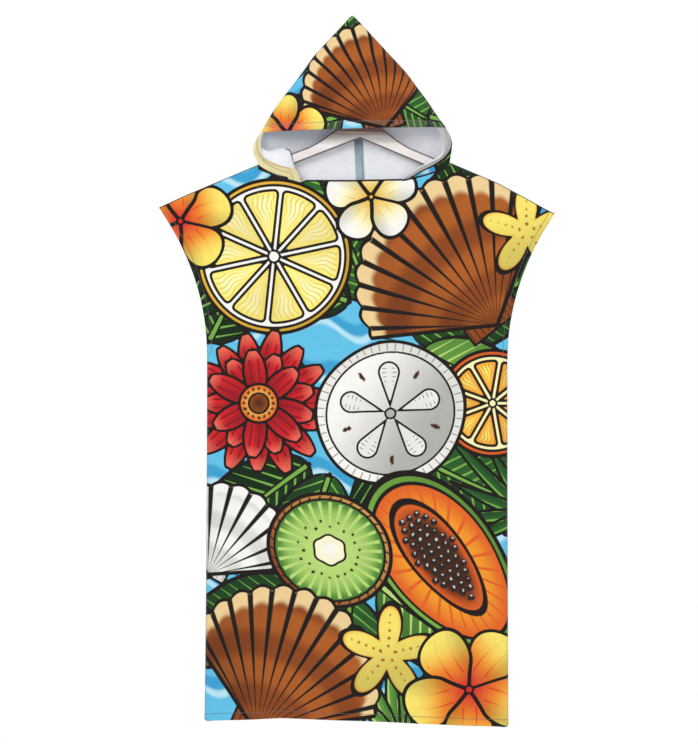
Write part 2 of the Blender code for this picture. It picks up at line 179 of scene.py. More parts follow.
INK = ink_colour(24, 19, 17)
UMBER = ink_colour(74, 34, 14)
BROWN = ink_colour(138, 68, 24)
RUSSET = ink_colour(172, 92, 34)
TAN = ink_colour(206, 150, 80)
SAND = ink_colour(236, 206, 150)
WHITE = ink_colour(246, 245, 241)
PEARL = ink_colour(220, 219, 214)
GREY = ink_colour(176, 176, 172)
CREAM = ink_colour(252, 243, 184)
LEMON = ink_colour(248, 228, 108)
GOLD = ink_colour(232, 182, 58)
ORANGE = ink_colour(242, 152, 40)
FLAME = ink_colour(224, 98, 34)
RED = ink_colour(216, 34, 40)
WINE = ink_colour(140, 14, 28)
CORAL = ink_colour(242, 112, 92)
FOREST = ink_colour(22, 58, 28)
LEAF = ink_colour(48, 108, 44)
FRESH = ink_colour(118, 174, 70)
LIME = ink_colour(184, 216, 118)
SEA = ink_colour(52, 156, 206)
SKY = ink_colour(98, 192, 230)
FOAM = ink_colour(188, 230, 244)
RIM_CREAM = ink_colour(232, 220, 168)
RIM_GREY = ink_colour(190, 191, 188)

# Materials. A place is the range that a colour comes in over, along each axis, and what it
# comes in from and to.
PRINTED_SHADER = {"Roughness": 0.88, "Sheen Weight": 0.12, "Specular IOR Level": 0.2}
PLAIN_SHADER = {"Roughness": 0.92, "Sheen Weight": 0.15, "Specular IOR Level": 0.2}
BUMP_DEPTH = 0.0004
NAP_TIPS = (0.78, 0.76, 0.72)
# Painted shade in the stitches' grooves and along the seams: its width, and the darkest share.
GROOVE_WIDTH = 0.0018
GROOVE_PAINTED_SHADE = 0.62
INSIDE_PALE = (0.92, 0.935, 0.97)
INSIDE_SHADE = (0.82, 0.84, 0.90)
# Painted shade inside the hood: the inside cloth greyer higher up, under the brim, and most on the
# left.
HOOD_PAINTED_SHADE = (0.60, 0.63, 0.69)
HOOD_PAINTED_SHADE_PLACE = {"Z": (-0.142, -0.108), "X": (0.05, -0.13, 0.30)}
BAND_PALE = (0.42, 0.53, 0.57)
BAND_SHADE = (0.31, 0.42, 0.47)
# Painted shade in a strip near the seam band's right edge.
BAND_EDGE_SHADE = (0.15, 0.22, 0.26)
# Painted shade on the seam band: darker towards its top, under the hanger and the brim.
BAND_PAINTED_SHADE = (0.13, 0.19, 0.22)
BAND_PAINTED_SHADE_PLACE = {"Z": (-0.158, -0.118, 0.0, 0.85)}
# Painted shadow along the inner lap's free edge, over the hanger's arm.
LAP_SHADOW_PALE = (0.19, 0.19, 0.20)
LAP_SHADOW_DARK = (0.09, 0.09, 0.10)
THREAD_PALE = (0.46, 0.44, 0.41)
THREAD_DARK = (0.24, 0.23, 0.21)
WOOD_PALE = (0.95, 0.935, 0.92)
WOOD_STREAK = (0.74, 0.63, 0.58)
# Painted shade under the brim: the wood browner high up towards the collar, by height.
WOOD_SHADE_BROWN = (0.19, 0.098, 0.068)
# Painted shade on the edges that turn away from front and back.
WOOD_EDGE_SHADE = (0.11, 0.09, 0.08)
WOOD_SHADE_HEIGHTS = (-0.130, -0.100, 0.0, 1.9)
WOOD_EDGE_SHADE_FACING = (0.995, 0.92)
STEEL = (0.62, 0.62, 0.64)

# View and light.
CAMERA_SENSOR = 36.0
CAMERA_DISTANCE = 7.0
CAMERA_REACH = 100.0
VIEW_HEIGHT = 1.473
VIEW_X = -0.0218
VIEW_Z = -0.5782
AIM = np.array((0.0, 0.0, -0.58))
BACKDROP = (1.0, 1.0, 1.0)
FILL_COLOUR = (1.0, 1.0, 1.0)
FILL_STRENGTH = 0.72
FLOOR_COLOUR = (0.86, 0.86, 0.85)
FLOOR_RADIUS = 2.6
FLOOR_SIDES = 96
FLOOR_Z = -1.75
LIGHTS = (
    ("key", (-1.6, -3.2, 1.2), 1.6, 42.0, (1.0, 0.99, 0.97)),
    ("fill", (2.2, -2.6, 0.2), 2.0, 16.0, (0.97, 0.98, 1.0)),
    ("behind", (0.6, 3.0, 0.8), 2.0, 30.0, (1.0, 1.0, 1.0)),
)

# Large soft folds, as in the CAD source: x at the top, x at the hem, z where it starts,
# half width, height.
FOLD_RUN = 0.22
FOLD_INSET = 0.08
FRONT_FOLDS = (
    (-0.232, -0.214, -0.30, 0.034, 0.0042),
    (-0.118, -0.142, -0.34, 0.030, -0.0028),
    (-0.062, -0.052, -0.78, 0.032, 0.0040),
    (0.030, 0.046, -0.62, 0.030, -0.0032),
    (0.098, 0.122, -0.30, 0.036, 0.0036),
    (0.214, 0.204, -0.38, 0.030, 0.0046),
)
BACK_FOLDS = (
    (-0.224, -0.238, -0.32, 0.032, 0.0044),
    (-0.140, -0.150, -0.60, 0.030, -0.0030),
    (-0.050, -0.078, -0.28, 0.036, 0.0040),
    (0.046, 0.030, -0.72, 0.030, 0.0036),
    (0.128, 0.112, -0.44, 0.034, -0.0030),
    (0.216, 0.226, -0.30, 0.032, 0.0040),
)
# Fine soft creases, uneven: from x, from z, to x, to z, half width, height. Their sway,
# half waves along them, shift of those by place, how soon they rise and fall, and how wide
# they start and grow, as shares.
CREASE_SWAY = 0.004
CREASE_WAVES = 2.6
CREASE_SHIFT = 40.0
CREASE_RISE = 0.3
CREASE_FALL = 0.6
CREASE_SPREAD = (0.75, 0.6)
CREASE_INSET = 0.035
FRONT_CREASES = (
    (-0.300, -0.235, -0.225, -0.470, 0.012, 0.0026),
    (-0.190, -0.215, -0.170, -0.520, 0.011, -0.0019),
    (0.150, -0.210, 0.190, -0.460, 0.012, 0.0024),
    (0.285, -0.265, 0.220, -0.520, 0.011, -0.0021),
    (-0.262, -0.520, -0.120, -0.640, 0.013, 0.0022),
    (0.262, -0.560, 0.140, -0.690, 0.012, 0.0021),
    (-0.020, -0.260, 0.010, -0.560, 0.013, 0.0016),
    (-0.255, -0.900, -0.240, -1.230, 0.012, 0.0022),
    (-0.010, -0.960, -0.012, -1.262, 0.012, 0.0024),
    (0.160, -0.880, 0.172, -1.262, 0.011, -0.0021),
)
BACK_CREASES = (
    (-0.280, -0.240, -0.215, -0.480, 0.012, -0.0021),
    (-0.120, -0.200, -0.090, -0.470, 0.012, 0.0022),
    (0.100, -0.205, 0.060, -0.500, 0.013, -0.0019),
    (0.280, -0.260, 0.225, -0.540, 0.012, 0.0024),
    (-0.258, -0.560, -0.130, -0.700, 0.013, 0.0022),
    (0.258, -0.600, 0.120, -0.720, 0.012, 0.0019),
    (-0.180, -0.860, -0.186, -1.250, 0.012, 0.0022),
    (0.004, -0.940, 0.000, -1.262, 0.012, -0.0021),
    (0.180, -0.900, 0.168, -1.250, 0.012, 0.0021),
)

# Hood above the brim: left x, left z, right x, right z, front depth, back depth.
HOOD_ROWS = (
    (-0.0190, 0.1235, -0.0110, 0.1235, 0.0032, 0.0032),
    (-0.0330, 0.1089, 0.0034, 0.1089, 0.0075, 0.0060),
    (-0.0606, 0.0792, 0.0307, 0.0792, 0.0135, 0.0090),
    (-0.0897, 0.0475, 0.0600, 0.0475, 0.0205, 0.0120),
    (-0.1125, 0.0158, 0.0891, 0.0158, 0.0280, 0.0148),
    (-0.1366, -0.0158, 0.1129, -0.0158, 0.0360, 0.0170),
    (-0.1578, -0.0436, 0.1319, -0.0410, 0.0430, 0.0185),
    (-0.1768, -0.0713, 0.1485, -0.0660, 0.0485, 0.0195),
    (-0.1950, -0.1040, 0.1690, -0.0940, 0.0530, 0.0200),
)
HOOD_PEAK = (-0.015, 0.0, 0.1262)
FRONT_STEPS = 15
BACK_STEPS = 21
FACE_STEP_LEFT = 1
FACE_STEP_RIGHT = 2
# Finer steps for each of the CAD source's steps round the hood, and fine rows down it.
FRONT_FINE = 17
BACK_FINE = 12
LOOP_FINE = (
    [FRONT_FINE] * FACE_STEP_LEFT + [BACK_FINE] * BACK_STEPS + [FRONT_FINE] * FACE_STEP_RIGHT
)
FRONT_COLUMNS = FRONT_STEPS * FRONT_FINE
# The brim's first and last column over the face opening.
BRIM_FIRST = FACE_STEP_LEFT * FRONT_FINE
BRIM_LAST = FRONT_COLUMNS - FACE_STEP_RIGHT * FRONT_FINE
HOOD_UPPER_ROWS = 134
HOOD_LOWER_ROWS = 44
FACE_BOW_FADE = 9
BACK_BELLY = 0.005
SIDE_BELLY = (0.012, 0.003)
SIDE_BELLY_PLACE = 0.13
SIDE_BELLY_WIDTH = 0.09
LAP = 0.003
ARM_CLEARANCE = 0.0016
ARM_CROSSING = 0.009
LAP_RUN = 0.002
FACE_LEFT = (
    (-0.197, -0.018, -0.123),
    (-0.190, -0.023, -0.152),
    (-0.160, -0.0225, -0.1690),
    (-0.128, -0.0215, -0.1785),
)
FACE_RIGHT = ((0.166, -0.021, -0.125), (0.160, -0.024, -0.152), (0.118, -0.0225, -0.175))
# Widths of the pale rims at the opening's sides, at the brim and at the neck.
RIM_LEFT = (0.028, 0.024)
RIM_RIGHT = (0.028, 0.008)
# The lap of cloth inside the left side: along the rim, and its free edge over the arm.
LAP_RIM = (
    (-0.1945, -0.0150, -0.134),
    (-0.1885, -0.0190, -0.152),
    (-0.160, -0.0190, -0.1685),
    (-0.129, -0.0180, -0.1780),
)
LAP_EDGE = (
    (-0.1930, -0.0140, -0.1380),
    (-0.1780, -0.0105, -0.1415),
    (-0.158, -0.0085, -0.1360),
    (-0.1400, -0.0082, -0.1385),
    (-0.1360, -0.0082, -0.1480),
    (-0.1315, -0.0085, -0.1660),
    (-0.1288, -0.0120, -0.1770),
)
LAP_COLUMNS = 48
LAP_ROWS = 14
LAP_SHADOW_START = 24
LAP_PUFF = 0.0016
# Material number of the painted shadow along the inner lap's free edge, and of the painted shade
# strip near the band's right edge.
EDGE_SLOT = 2
ALLOWANCE_WIDTH = 0.016
ALLOWANCE_THICKNESS = 0.001
ALLOWANCE_INSET = CLOTH / 2 + ALLOWANCE_THICKNESS / 2 + 0.0005
ALLOWANCE_TOP = 0.0475
ALLOWANCE_STRIDE = 2
ALLOWANCE_COLUMNS = 9
BAND_EDGE_SHADE_COLUMN = 1
ALLOWANCE_PUFF = 0.0003
SEAM_LEAN = 0.049


def smooth(value):
    """A soft step, 0 to 1 as value goes from 0 to 1."""
    value = np.clip(value, 0.0, 1.0)
    return value * value * (3.0 - 2.0 * value)


def quarter_round(value):
    """The height of a quarter circle, 0 to 1 as value goes from 0 to 1."""
    return np.sqrt(1.0 - (1.0 - np.clip(value, 0.0, 1.0)) ** 2)


def unit(vectors):
    length = np.linalg.norm(vectors, axis=-1, keepdims=True)
    return vectors / np.maximum(length, 1e-12)


def along_rows(points):
    """Distance of each point from its row's first point."""
    steps = np.linalg.norm(np.diff(points, axis=1), axis=2)
    return np.concatenate([np.zeros((len(points), 1)), np.cumsum(steps, axis=1)], axis=1)


def on_line(wanted, run, line):
    """The points of a line at the wanted distances, where run is each of its points'."""
    return np.stack([np.interp(wanted, run, axis) for axis in line.T], axis=-1)


def smooth_path(points, count):
    """count + 1 points along a smooth curve through points, evenly spaced by its length."""
    points = np.array(points, float)
    padded = np.vstack([2 * points[0] - points[1], points, 2 * points[-1] - points[-2]])
    curve = [points[0]]
    for a, b, c, d in zip(padded, padded[1:], padded[2:], padded[3:]):
        for t in np.linspace(1.0 / CURVE_STEPS, 1.0, CURVE_STEPS):
            cubic = 2 * b + (c - a) * t + (2 * a - 5 * b + 4 * c - d) * t**2
            curve.append(0.5 * (cubic + (3 * b - a - 3 * c + d) * t**3))
    curve = np.array(curve)
    run = along_rows(curve[None])[0]
    return on_line(np.linspace(0.0, run[-1], count + 1), run, curve)


# Panels: the front and the back.


def coarse_columns():
    """x and z of the CAD source's columns at a panel's top edge."""
    columns = []
    for (x, z, steps), (next_x, next_z, _) in zip(TOP_EDGE, TOP_EDGE[1:]):
        for step in range(steps):
            share = step / steps
            columns.append((x + (next_x - x) * share, z + (next_z - z) * share))
    columns.append(TIP_RIGHT)
    return np.array(columns)


def fine_columns():
    """x and z of close columns at a panel's top edge, its corners among them."""
    coarse = coarse_columns()
    columns = []
    for start, end in zip(coarse, coarse[1:]):
        steps = max(1, round((end[0] - start[0]) / COLUMN_SPACING))
        for step in range(steps):
            columns.append(start + (end - start) * step / steps)
    columns.append(coarse[-1])
    return np.array(columns)


def fine_drops():
    """Drops of close rows below the top edge, closest at the shoulder and at the hem."""
    last_plain = HEM_DROP - HEM_ROWS[0]
    count = round((last_plain - FIRST_DROPS[-1]) / ROW_SPACING)
    middle = np.linspace(FIRST_DROPS[-1], last_plain, count + 1)[1:-1]
    return np.concatenate([FIRST_DROPS, middle, HEM_DROP - np.array(HEM_ROWS)])


def side_x(drop, tip_x, side_x_value, hem_x):
    """x of the armhole and side edge, at a drop below the sleeve's tip."""
    reach = np.clip(1.0 - drop / ARMHOLE_HEIGHT, 0.0, 1.0) ** ARMHOLE_POWER
    down = np.clip((drop - ARMHOLE_HEIGHT) / (HEM_DROP - ARMHOLE_HEIGHT), 0.0, 1.0)
    return side_x_value + (tip_x - side_x_value) * reach + (hem_x - side_x_value) * down**2


def fold_height(x, z, folds):
    """The large folds' height: each grows over a run below its start."""
    hem_z = TIP_LEFT[1] - HEM_DROP
    total = np.zeros_like(x)
    for top_x, hem_x, start_z, half_width, height in folds:
        along = np.clip((start_z - z) / (start_z - hem_z), 0.0, 1.0)
        middle = top_x + (hem_x - top_x) * along
        across = np.exp(-(((x - middle) / half_width) ** 2))
        total = total + height * across * smooth((start_z - z) / FOLD_RUN)
    return total


def crease_height(x, z, creases):
    """Soft creases along straight lines, widest and highest in their first third."""
    total = np.zeros_like(x)
    for from_x, from_z, to_x, to_z, half_width, height in creases:
        run = np.array((to_x - from_x, to_z - from_z))
        length = np.linalg.norm(run)
        run = run / length
        along = ((x - from_x) * run[0] + (z - from_z) * run[1]) / length
        off = (x - from_x) * run[1] - (z - from_z) * run[0]
        sway = CREASE_SWAY * np.sin(CREASE_WAVES * np.pi * along + CREASE_SHIFT * from_x)
        ends = smooth(along / CREASE_RISE) * smooth((1.0 - along) / CREASE_FALL)
        width = half_width * (CREASE_SPREAD[0] + CREASE_SPREAD[1] * np.clip(along, 0.0, 1.0))
        total = total + height * ends * np.exp(-(((off - sway) / width) ** 2))
    return total


def panel_points(side, folds, creases, columns, drops):
    """Rows and columns of points of one panel. side is -1 for the front and 1 for the back."""
    drops = np.asarray(drops)[:, None]
    share = (columns[:, 0] - TIP_LEFT[0]) / (TIP_RIGHT[0] - TIP_LEFT[0])
    tip_z = TIP_LEFT[1] + (TIP_RIGHT[1] - TIP_LEFT[1]) * share
    # How far each point lies below the line between the sleeves' tips.
    fall = drops - (columns[:, 1] - tip_z) * (1.0 - smooth(drops / RISE_DROP))
    lift = np.clip(HEM_CORNER - HEM_DROP + drops, 0.0, HEM_CORNER)
    tuck = HEM_CORNER - np.sqrt(HEM_CORNER**2 - lift**2)
    left_x = side_x(fall, TIP_LEFT[0], SIDE_LEFT_X, HEM_LEFT_X) + tuck
    right_x = side_x(fall, TIP_RIGHT[0], SIDE_RIGHT_X, HEM_RIGHT_X) - tuck
    drawn_in = (left_x - TIP_LEFT[0]) * (1.0 - share) + (right_x - TIP_RIGHT[0]) * share
    near_edge = 1.0 - smooth(np.minimum(share, 1.0 - share) / EDGE_SHARE)
    x = columns[:, 0] + drawn_in * np.maximum(near_edge, smooth(fall / EDGE_DROP))
    hem_rise = np.interp(x, *zip(*HEM_RISE)) * smooth(drops / HEM_DROP * 2.0 - 1.0)
    z = tip_z - fall + hem_rise
    below_ridge = np.interp(x, *zip(*RIDGE)) - z
    half_depth = np.interp(fall, *zip(*HALF_DEPTH))
    tent = TENT_DEPTH * quarter_round(below_ridge / TENT_DROP)
    tent = tent + (half_depth - TENT_DEPTH) * smooth(below_ridge / CHEST_DROP)
    inset = np.minimum(x - left_x, right_x - x)
    armhole = np.sin(np.pi * np.clip(fall / ARMHOLE_HEIGHT, 0.0, 1.0)) ** 0.5
    seam = CURL_SHARE * quarter_round(inset / CURL_WIDTH)
    seam = seam + (1.0 - CURL_SHARE) * smooth(inset / SIDE_RUN)
    open_edge = ARMHOLE_OPEN + (1.0 - ARMHOLE_OPEN) * smooth(inset / SIDE_RUN)
    armhole = np.maximum(armhole, smooth(1.0 - fall / TIP_DROP))
    across = seam * (1.0 - armhole) + open_edge * armhole
    depth = tent * across + fold_height(x, z, folds) * smooth(inset / FOLD_INSET)
    held = smooth(inset / CREASE_INSET) * smooth(below_ridge / CREASE_INSET)
    depth = depth + crease_height(x, z, creases) * held
    depth = np.maximum(depth, 0.0) + SEAM_GAP / 2
    return np.stack([x, side * depth, z], axis=2)


def turn_seam_normals(points, normals):
    """Turns the wall at the shoulder and side seams so that its edge faces the other panel."""
    seam = np.abs(points[..., 1]) < SEAM_GAP
    return unit(np.where(seam[..., None], normals * (1.0, 0.0, 1.0), normals))


def at_distance(run, wanted, *sheets):
    """The points of each sheet at a distance along each row, one line for each sheet."""
    return [
        np.array([on_line(wanted, far, row) for far, row in zip(run, sheet)])
        for sheet in sheets
    ]


def hem_profile(distance, depth):
    """Extra thickness of a turned hem, at a distance from its edge, 0 to 1."""
    return smooth((depth - distance) / HEM_STEP + 0.5)


def stitch_dip(distance, inset):
    """How far the stitches draw the cloth in, at a distance from its edge, 0 to 1."""
    return np.exp(-(((distance - inset) / STITCH_DIP_WIDTH) ** 2))


def wall(hem, dip):
    """Distances from the sheet to the cloth's outer and inner surface."""
    extra = (HEM_CLOTH - CLOTH) * hem
    outside = CLOTH / 2 + extra * HEM_OUTSIDE - STITCH_DEPTH * dip
    return outside, CLOTH / 2 + extra * (1.0 - HEM_OUTSIDE)


# Hood.


def hood_ring(left_x, left_z, right_x, right_z, front, back):
    """One row around the hood: the front from left to right, then the back to the left."""
    front_turn = np.linspace(0.0, math.pi, FRONT_COLUMNS + 1)[:-1]
    back_turn = math.pi + np.linspace(0.0, math.pi, BACK_STEPS * BACK_FINE + 1)[:-1]
    turn = np.concatenate([front_turn, back_turn])
    share = (1.0 - np.cos(turn)) / 2
    depth = np.where(turn < math.pi, front, back)
    x = left_x + (right_x - left_x) * share
    z = left_z + (right_z - left_z) * share
    return np.stack([x, -depth * np.sin(turn), z], axis=1)


def neck_loop(front_top, back_top):
    """Coarse points around the neck hole, from the left front corner to the right one."""
    xs = front_top[:, 0]
    left = int(np.argmin(np.abs(xs - NECK_LEFT[0])))
    right = int(np.argmin(np.abs(xs - NECK_RIGHT[0])))
    front_left = front_top[left + 1 : left + 1 + CORNER_COLUMNS][::-1]
    front_right = front_top[right - CORNER_COLUMNS : right][::-1]
    shoulder_left = front_top[left] * (1.0, 0.0, 1.0)
    shoulder_right = front_top[right] * (1.0, 0.0, 1.0)
    across = back_top[left + 1 : right]
    return np.vstack([front_left, shoulder_left, across, shoulder_right, front_right])


def finer(loop):
    """The same line round the neck hole, with each step cut into as many as the hood has."""
    line = [loop[0]]
    for start, end, factor in zip(loop, loop[1:], LOOP_FINE):
        for step in range(1, factor + 1):
            line.append(start + (end - start) * step / factor)
    return np.array(line)


def inward(loop):
    """The horizontal direction into the neck hole at each point of the loop."""
    along = np.gradient(loop, axis=0)
    return unit(np.stack([along[:, 1], -along[:, 0], np.zeros(len(loop))], axis=1))


def hood_neck_rows(loop):
    """The hood's two lowest rows, just inside the neck hole: above its edge and below it."""
    above = loop + inward(loop) * (CAD_CLOTH + SEAM_GAP)
    below = above.copy()
    off_the_arm = smooth((np.abs(loop[:, 1]) - ARM_CROSSING) / LAP_RUN)
    above[:, 2] += LAP
    below[:, 2] += ARM_CLEARANCE - LAP * off_the_arm
    return above, below


def lower_patch(top, bottom, left, right):
    """Rows and columns between four edges. The bow of the two side edges fades inward."""
    across = np.linspace(0.0, 1.0, len(top))[None, :, None]
    down = np.linspace(0.0, 1.0, len(left))[:, None, None]
    ruled = (1 - down) * top[None] + down * bottom[None]
    bow_left = (left[:, None] - ruled[:, :1]) * (1 - across) ** FACE_BOW_FADE
    bow_right = (right[:, None] - ruled[:, -1:]) * across**FACE_BOW_FADE
    belly = BACK_BELLY * np.sin(np.pi * down) * np.sin(np.pi * across) * (0.0, 1.0, 0.0)
    near_left = np.exp(-(((across - SIDE_BELLY_PLACE) / SIDE_BELLY_WIDTH) ** 2))
    near_right = np.exp(-(((1 - across - SIDE_BELLY_PLACE) / SIDE_BELLY_WIDTH) ** 2))
    spread = SIDE_BELLY[1] * near_right - SIDE_BELLY[0] * near_left
    sides = spread * np.sin(np.pi * down) * (1.0, 0.0, 0.0)
    return ruled + bow_left + bow_right + belly + sides


def hood_rings():
    """Close rings from just under the crown to the brim, each a full turn round the hood."""
    crown = (HOOD_PEAK[0], HOOD_PEAK[2], HOOD_PEAK[0], HOOD_PEAK[2], 0.0, 0.0)
    rows = smooth_path([crown, *HOOD_ROWS], HOOD_UPPER_ROWS)[1:]
    return np.array([hood_ring(*row) for row in rows])


def opened_out(crease, side, along, drop):
    """Cut coordinates of cloth behind the crease down a side of the hood, opened out flat.

    The crease ends at the brim. side is 1 for the right and -1 for the left, along runs
    level round the hood from the front's middle, and drop is the height over the peak.
    """
    lie = unit(crease.reshape(-1, 2)[-1])
    level = side * (np.array((1.0, 0.0)) - 2.0 * lie[0] * lie)
    down = np.array((0.0, 1.0)) - 2.0 * lie[1] * lie
    behind = np.abs(along) - np.abs(crease[..., 0])
    below = crease[..., 1] - drop
    return crease + behind[..., None] * level + below[..., None] * down


def upper_cut(rings):
    """Cut coordinates of the rings, their right and left crease, and their two seams.

    A seam is how far round the brim the centre-back seam lies, to the right or the left.
    """
    middle = FRONT_COLUMNS // 2
    rolled = np.roll(rings, -middle, axis=1)
    run = along_rows(np.hstack([rolled, rolled[:, :1]]))
    turn = np.arange(rings.shape[1])
    right_corner = FRONT_COLUMNS - middle
    left_corner = len(turn) - middle
    past_seam = rolled[..., 0] < seam_x(rolled[..., 2])
    left_half = (turn >= left_corner) | ((turn >= right_corner) & past_seam)
    along = run[:, :-1] - run[:, -1:] * left_half
    drop = rolled[..., 2] - HOOD_PEAK[2]
    cut = np.stack([along, drop], axis=2)
    creases = (cut[:, right_corner], cut[:, left_corner])
    back = (turn >= right_corner) & (turn < left_corner)
    for crease, side, half in zip(creases, (1.0, -1.0), (~left_half, left_half)):
        behind = opened_out(crease[:, None], side, along, drop)
        cut = np.where((back & half)[..., None], behind, cut)
    seams = (np.max(np.where(left_half, -1.0, along)[-1]), np.min(along[-1]))
    return np.roll(cut, middle, axis=1), creases, seams


def lower_cut(lower, creases, seams):
    """Cut coordinates of the hood's rows below the brim."""
    run = along_rows(lower)
    right_half = lower[..., 0] > seam_x(lower[..., 2])
    from_seam = np.min(np.where(right_half, run, np.inf), axis=1, keepdims=True) - run
    drop = lower[..., 2] - HOOD_PEAK[2]
    right, left = (
        opened_out(crease[-1], side, from_seam + seam, drop)
        for crease, side, seam in zip(creases, (1.0, -1.0), seams)
    )
    return np.where(right_half[..., None], right, left)


def hood_sheet(loop):
    """The hood's points, its faces outside and inside, its cut coordinates, and its rows."""
    rings = hood_rings()
    count, around = rings.shape[:2]
    indices = np.arange(BRIM_LAST - around, BRIM_FIRST + 1)[::-1] % around
    top = rings[-1][indices]
    above, below = (finer(row) for row in hood_neck_rows(loop))
    left = smooth_path([top[0], *FACE_LEFT, above[0]], HOOD_LOWER_ROWS)
    right = smooth_path([top[-1], *FACE_RIGHT, above[-1]], HOOD_LOWER_ROWS)
    patch = np.concatenate([lower_patch(top, above, left, right), below[None]])
    lower = patch[1:]
    points = np.vstack([[HOOD_PEAK], rings.reshape(-1, 3), lower.reshape(-1, 3)])
    upper_flat, creases, seams = upper_cut(rings)
    lower_flat = lower_cut(lower, creases, seams)
    flat = np.vstack([np.zeros((1, 2)), upper_flat.reshape(-1, 2), lower_flat.reshape(-1, 2)])

    upper = 1 + np.arange(count * around).reshape(count, around)
    upper = np.hstack([upper, upper[:, :1]])[:, ::-1]
    peak = np.zeros(around, int)
    crown = np.stack([peak, upper[0, 1:], upper[0, :-1], peak - 1], axis=1)
    brim = 1 + (count - 1) * around + indices
    below_brim = 1 + count * around + np.arange(lower[..., 0].size).reshape(lower.shape[:2])
    numbers = np.vstack([brim, below_brim])
    faces = np.vstack([crown, quads_of(upper), quads_of(numbers)])
    inner = [tuple(face[:3]) for face in crown]
    inner += coarse_faces(upper) + coarse_faces(numbers)
    return points, faces, inner, flat, patch, rings, numbers


def quads_of(numbers):
    """Quads of a grid of point numbers whose rows run left to right and go down."""
    corners = (numbers[:-1, :-1], numbers[:-1, 1:], numbers[1:, 1:], numbers[1:, :-1])
    return np.stack([corner.reshape(-1) for corner in corners], axis=1)


# Shells of cloth.


def face_normals(points, faces):
    """Smooth normals of a mesh of quads, and of triangles whose last number is -1."""
    last = np.where(faces[:, 3] < 0, faces[:, 2], faces[:, 3])
    diagonal = points[faces[:, 2]] - points[faces[:, 0]]
    normal = np.cross(diagonal, points[last] - points[faces[:, 1]])
    triangle = faces[:, 3] < 0
    short = points[faces[:, 1]] - points[faces[:, 0]]
    normal[triangle] = np.cross(short, diagonal)[triangle]
    total = np.zeros_like(points)
    for corner in range(4):
        used = faces[:, corner] >= 0
        np.add.at(total, faces[used, corner], normal[used])
    return unit(total)


def rim_edges(faces):
    """The edges that one face uses, each in that face's direction."""
    edges = []
    for corner in range(4):
        start = faces[:, corner]
        end = faces[:, (corner + 1) % 4]
        end = np.where(end < 0, faces[:, 0], end)
        edges.append(np.stack([start, end], axis=1)[start >= 0])
    edges = np.vstack(edges)
    size = int(edges.max()) + 1
    forward = edges[:, 0] * size + edges[:, 1]
    backward = edges[:, 1] * size + edges[:, 0]
    return edges[~np.isin(forward, backward)]


def coarse_faces(numbers):
    """Faces over a grid's every INNER_STRIDE-th row and column, with all its border points."""
    rows, columns = numbers.shape
    keep_rows = sorted({*range(0, rows, INNER_STRIDE), rows - 1})
    keep_columns = sorted({*range(0, columns, INNER_STRIDE), columns - 1})
    faces = []
    for top, bottom in zip(keep_rows, keep_rows[1:]):
        for left, right in zip(keep_columns, keep_columns[1:]):
            upper = [numbers[top, left], numbers[top, right]]
            lower = [numbers[bottom, right], numbers[bottom, left]]
            right_side = []
            left_side = []
            if top == 0:
                upper = list(numbers[0, left : right + 1])
            if bottom == rows - 1:
                lower = list(numbers[-1, left : right + 1][::-1])
            if right == columns - 1:
                right_side = list(numbers[top + 1 : bottom, -1])
            if left == 0:
                left_side = list(numbers[top + 1 : bottom, 0][::-1])
            faces.append(tuple(upper + right_side + lower + left_side))
    return faces


def new_object(name, data):
    """A new object in the scene, for its data."""
    made = bpy.data.objects.new(name, data)
    bpy.context.scene.collection.objects.link(made)
    return made


def new_mesh(name, points, faces, materials):
    """A new smooth mesh in the scene."""
    mesh = bpy.data.meshes.new(name)
    mesh.from_pydata(points.tolist(), [], faces)
    mesh.shade_smooth()
    for material in materials:
        mesh.materials.append(material)
    mesh.update()
    return new_object(name, mesh)


def cloth_shell(name, points, faces, normals, outside, inside, materials, inner=None):
    """A closed shell of cloth round a sheet of points, and the sheet's point for each of its.

    outside and inside are each point's distances to the outer and the inner surface. inner
    lists the inner surface's faces where they are fewer. Its rim bulges a little.
    """
    points = points.reshape(-1, 3)
    normals = normals.reshape(-1, 3)
    outer_points = points + normals * outside.reshape(-1, 1)
    inner_points = points - normals * inside.reshape(-1, 1)
    rim = rim_edges(faces)
    walls = [tuple(int(i) for i in face if i >= 0) for face in faces]
    inner = inner or list(walls)
    used = np.unique(np.concatenate([*inner, rim[:, 0]]))
    inner_number = np.full(len(points), -1)
    inner_number[used] = len(points) + np.arange(len(used))

    along = unit(points[rim[:, 1]] - points[rim[:, 0]])
    outward = np.zeros_like(points)
    push = np.cross(along, normals[rim[:, 0]])
    np.add.at(outward, rim[:, 0], push)
    np.add.at(outward, rim[:, 1], push)
    edge = np.unique(rim)
    free = smooth((np.abs(points[edge, 1]) - SEAM_GAP) / EDGE_FREE)
    middle = (outer_points[edge] + inner_points[edge]) / 2
    middle = middle + unit(outward[edge]) * (EDGE_BULGE * free)[:, None]
    middle_number = np.full(len(points), -1)
    middle_number[edge] = len(points) + len(used) + np.arange(len(edge))

    slots = [0] * len(walls) + [1] * len(inner) + [0, 1] * len(rim)
    walls += [tuple(int(inner_number[i]) for i in reversed(face)) for face in inner]
    start, end = rim.T
    low, high = middle_number[start], middle_number[end]
    rims = (end, start, low, high, high, low, inner_number[start], inner_number[end])
    walls += np.stack(rims, axis=1).reshape(-1, 4).tolist()
    shell = new_mesh(name, np.vstack([outer_points, inner_points[used], middle]), walls, materials)
    shell.data.polygons.foreach_set("material_index", slots)
    return shell, np.concatenate([np.arange(len(points)), used, edge])


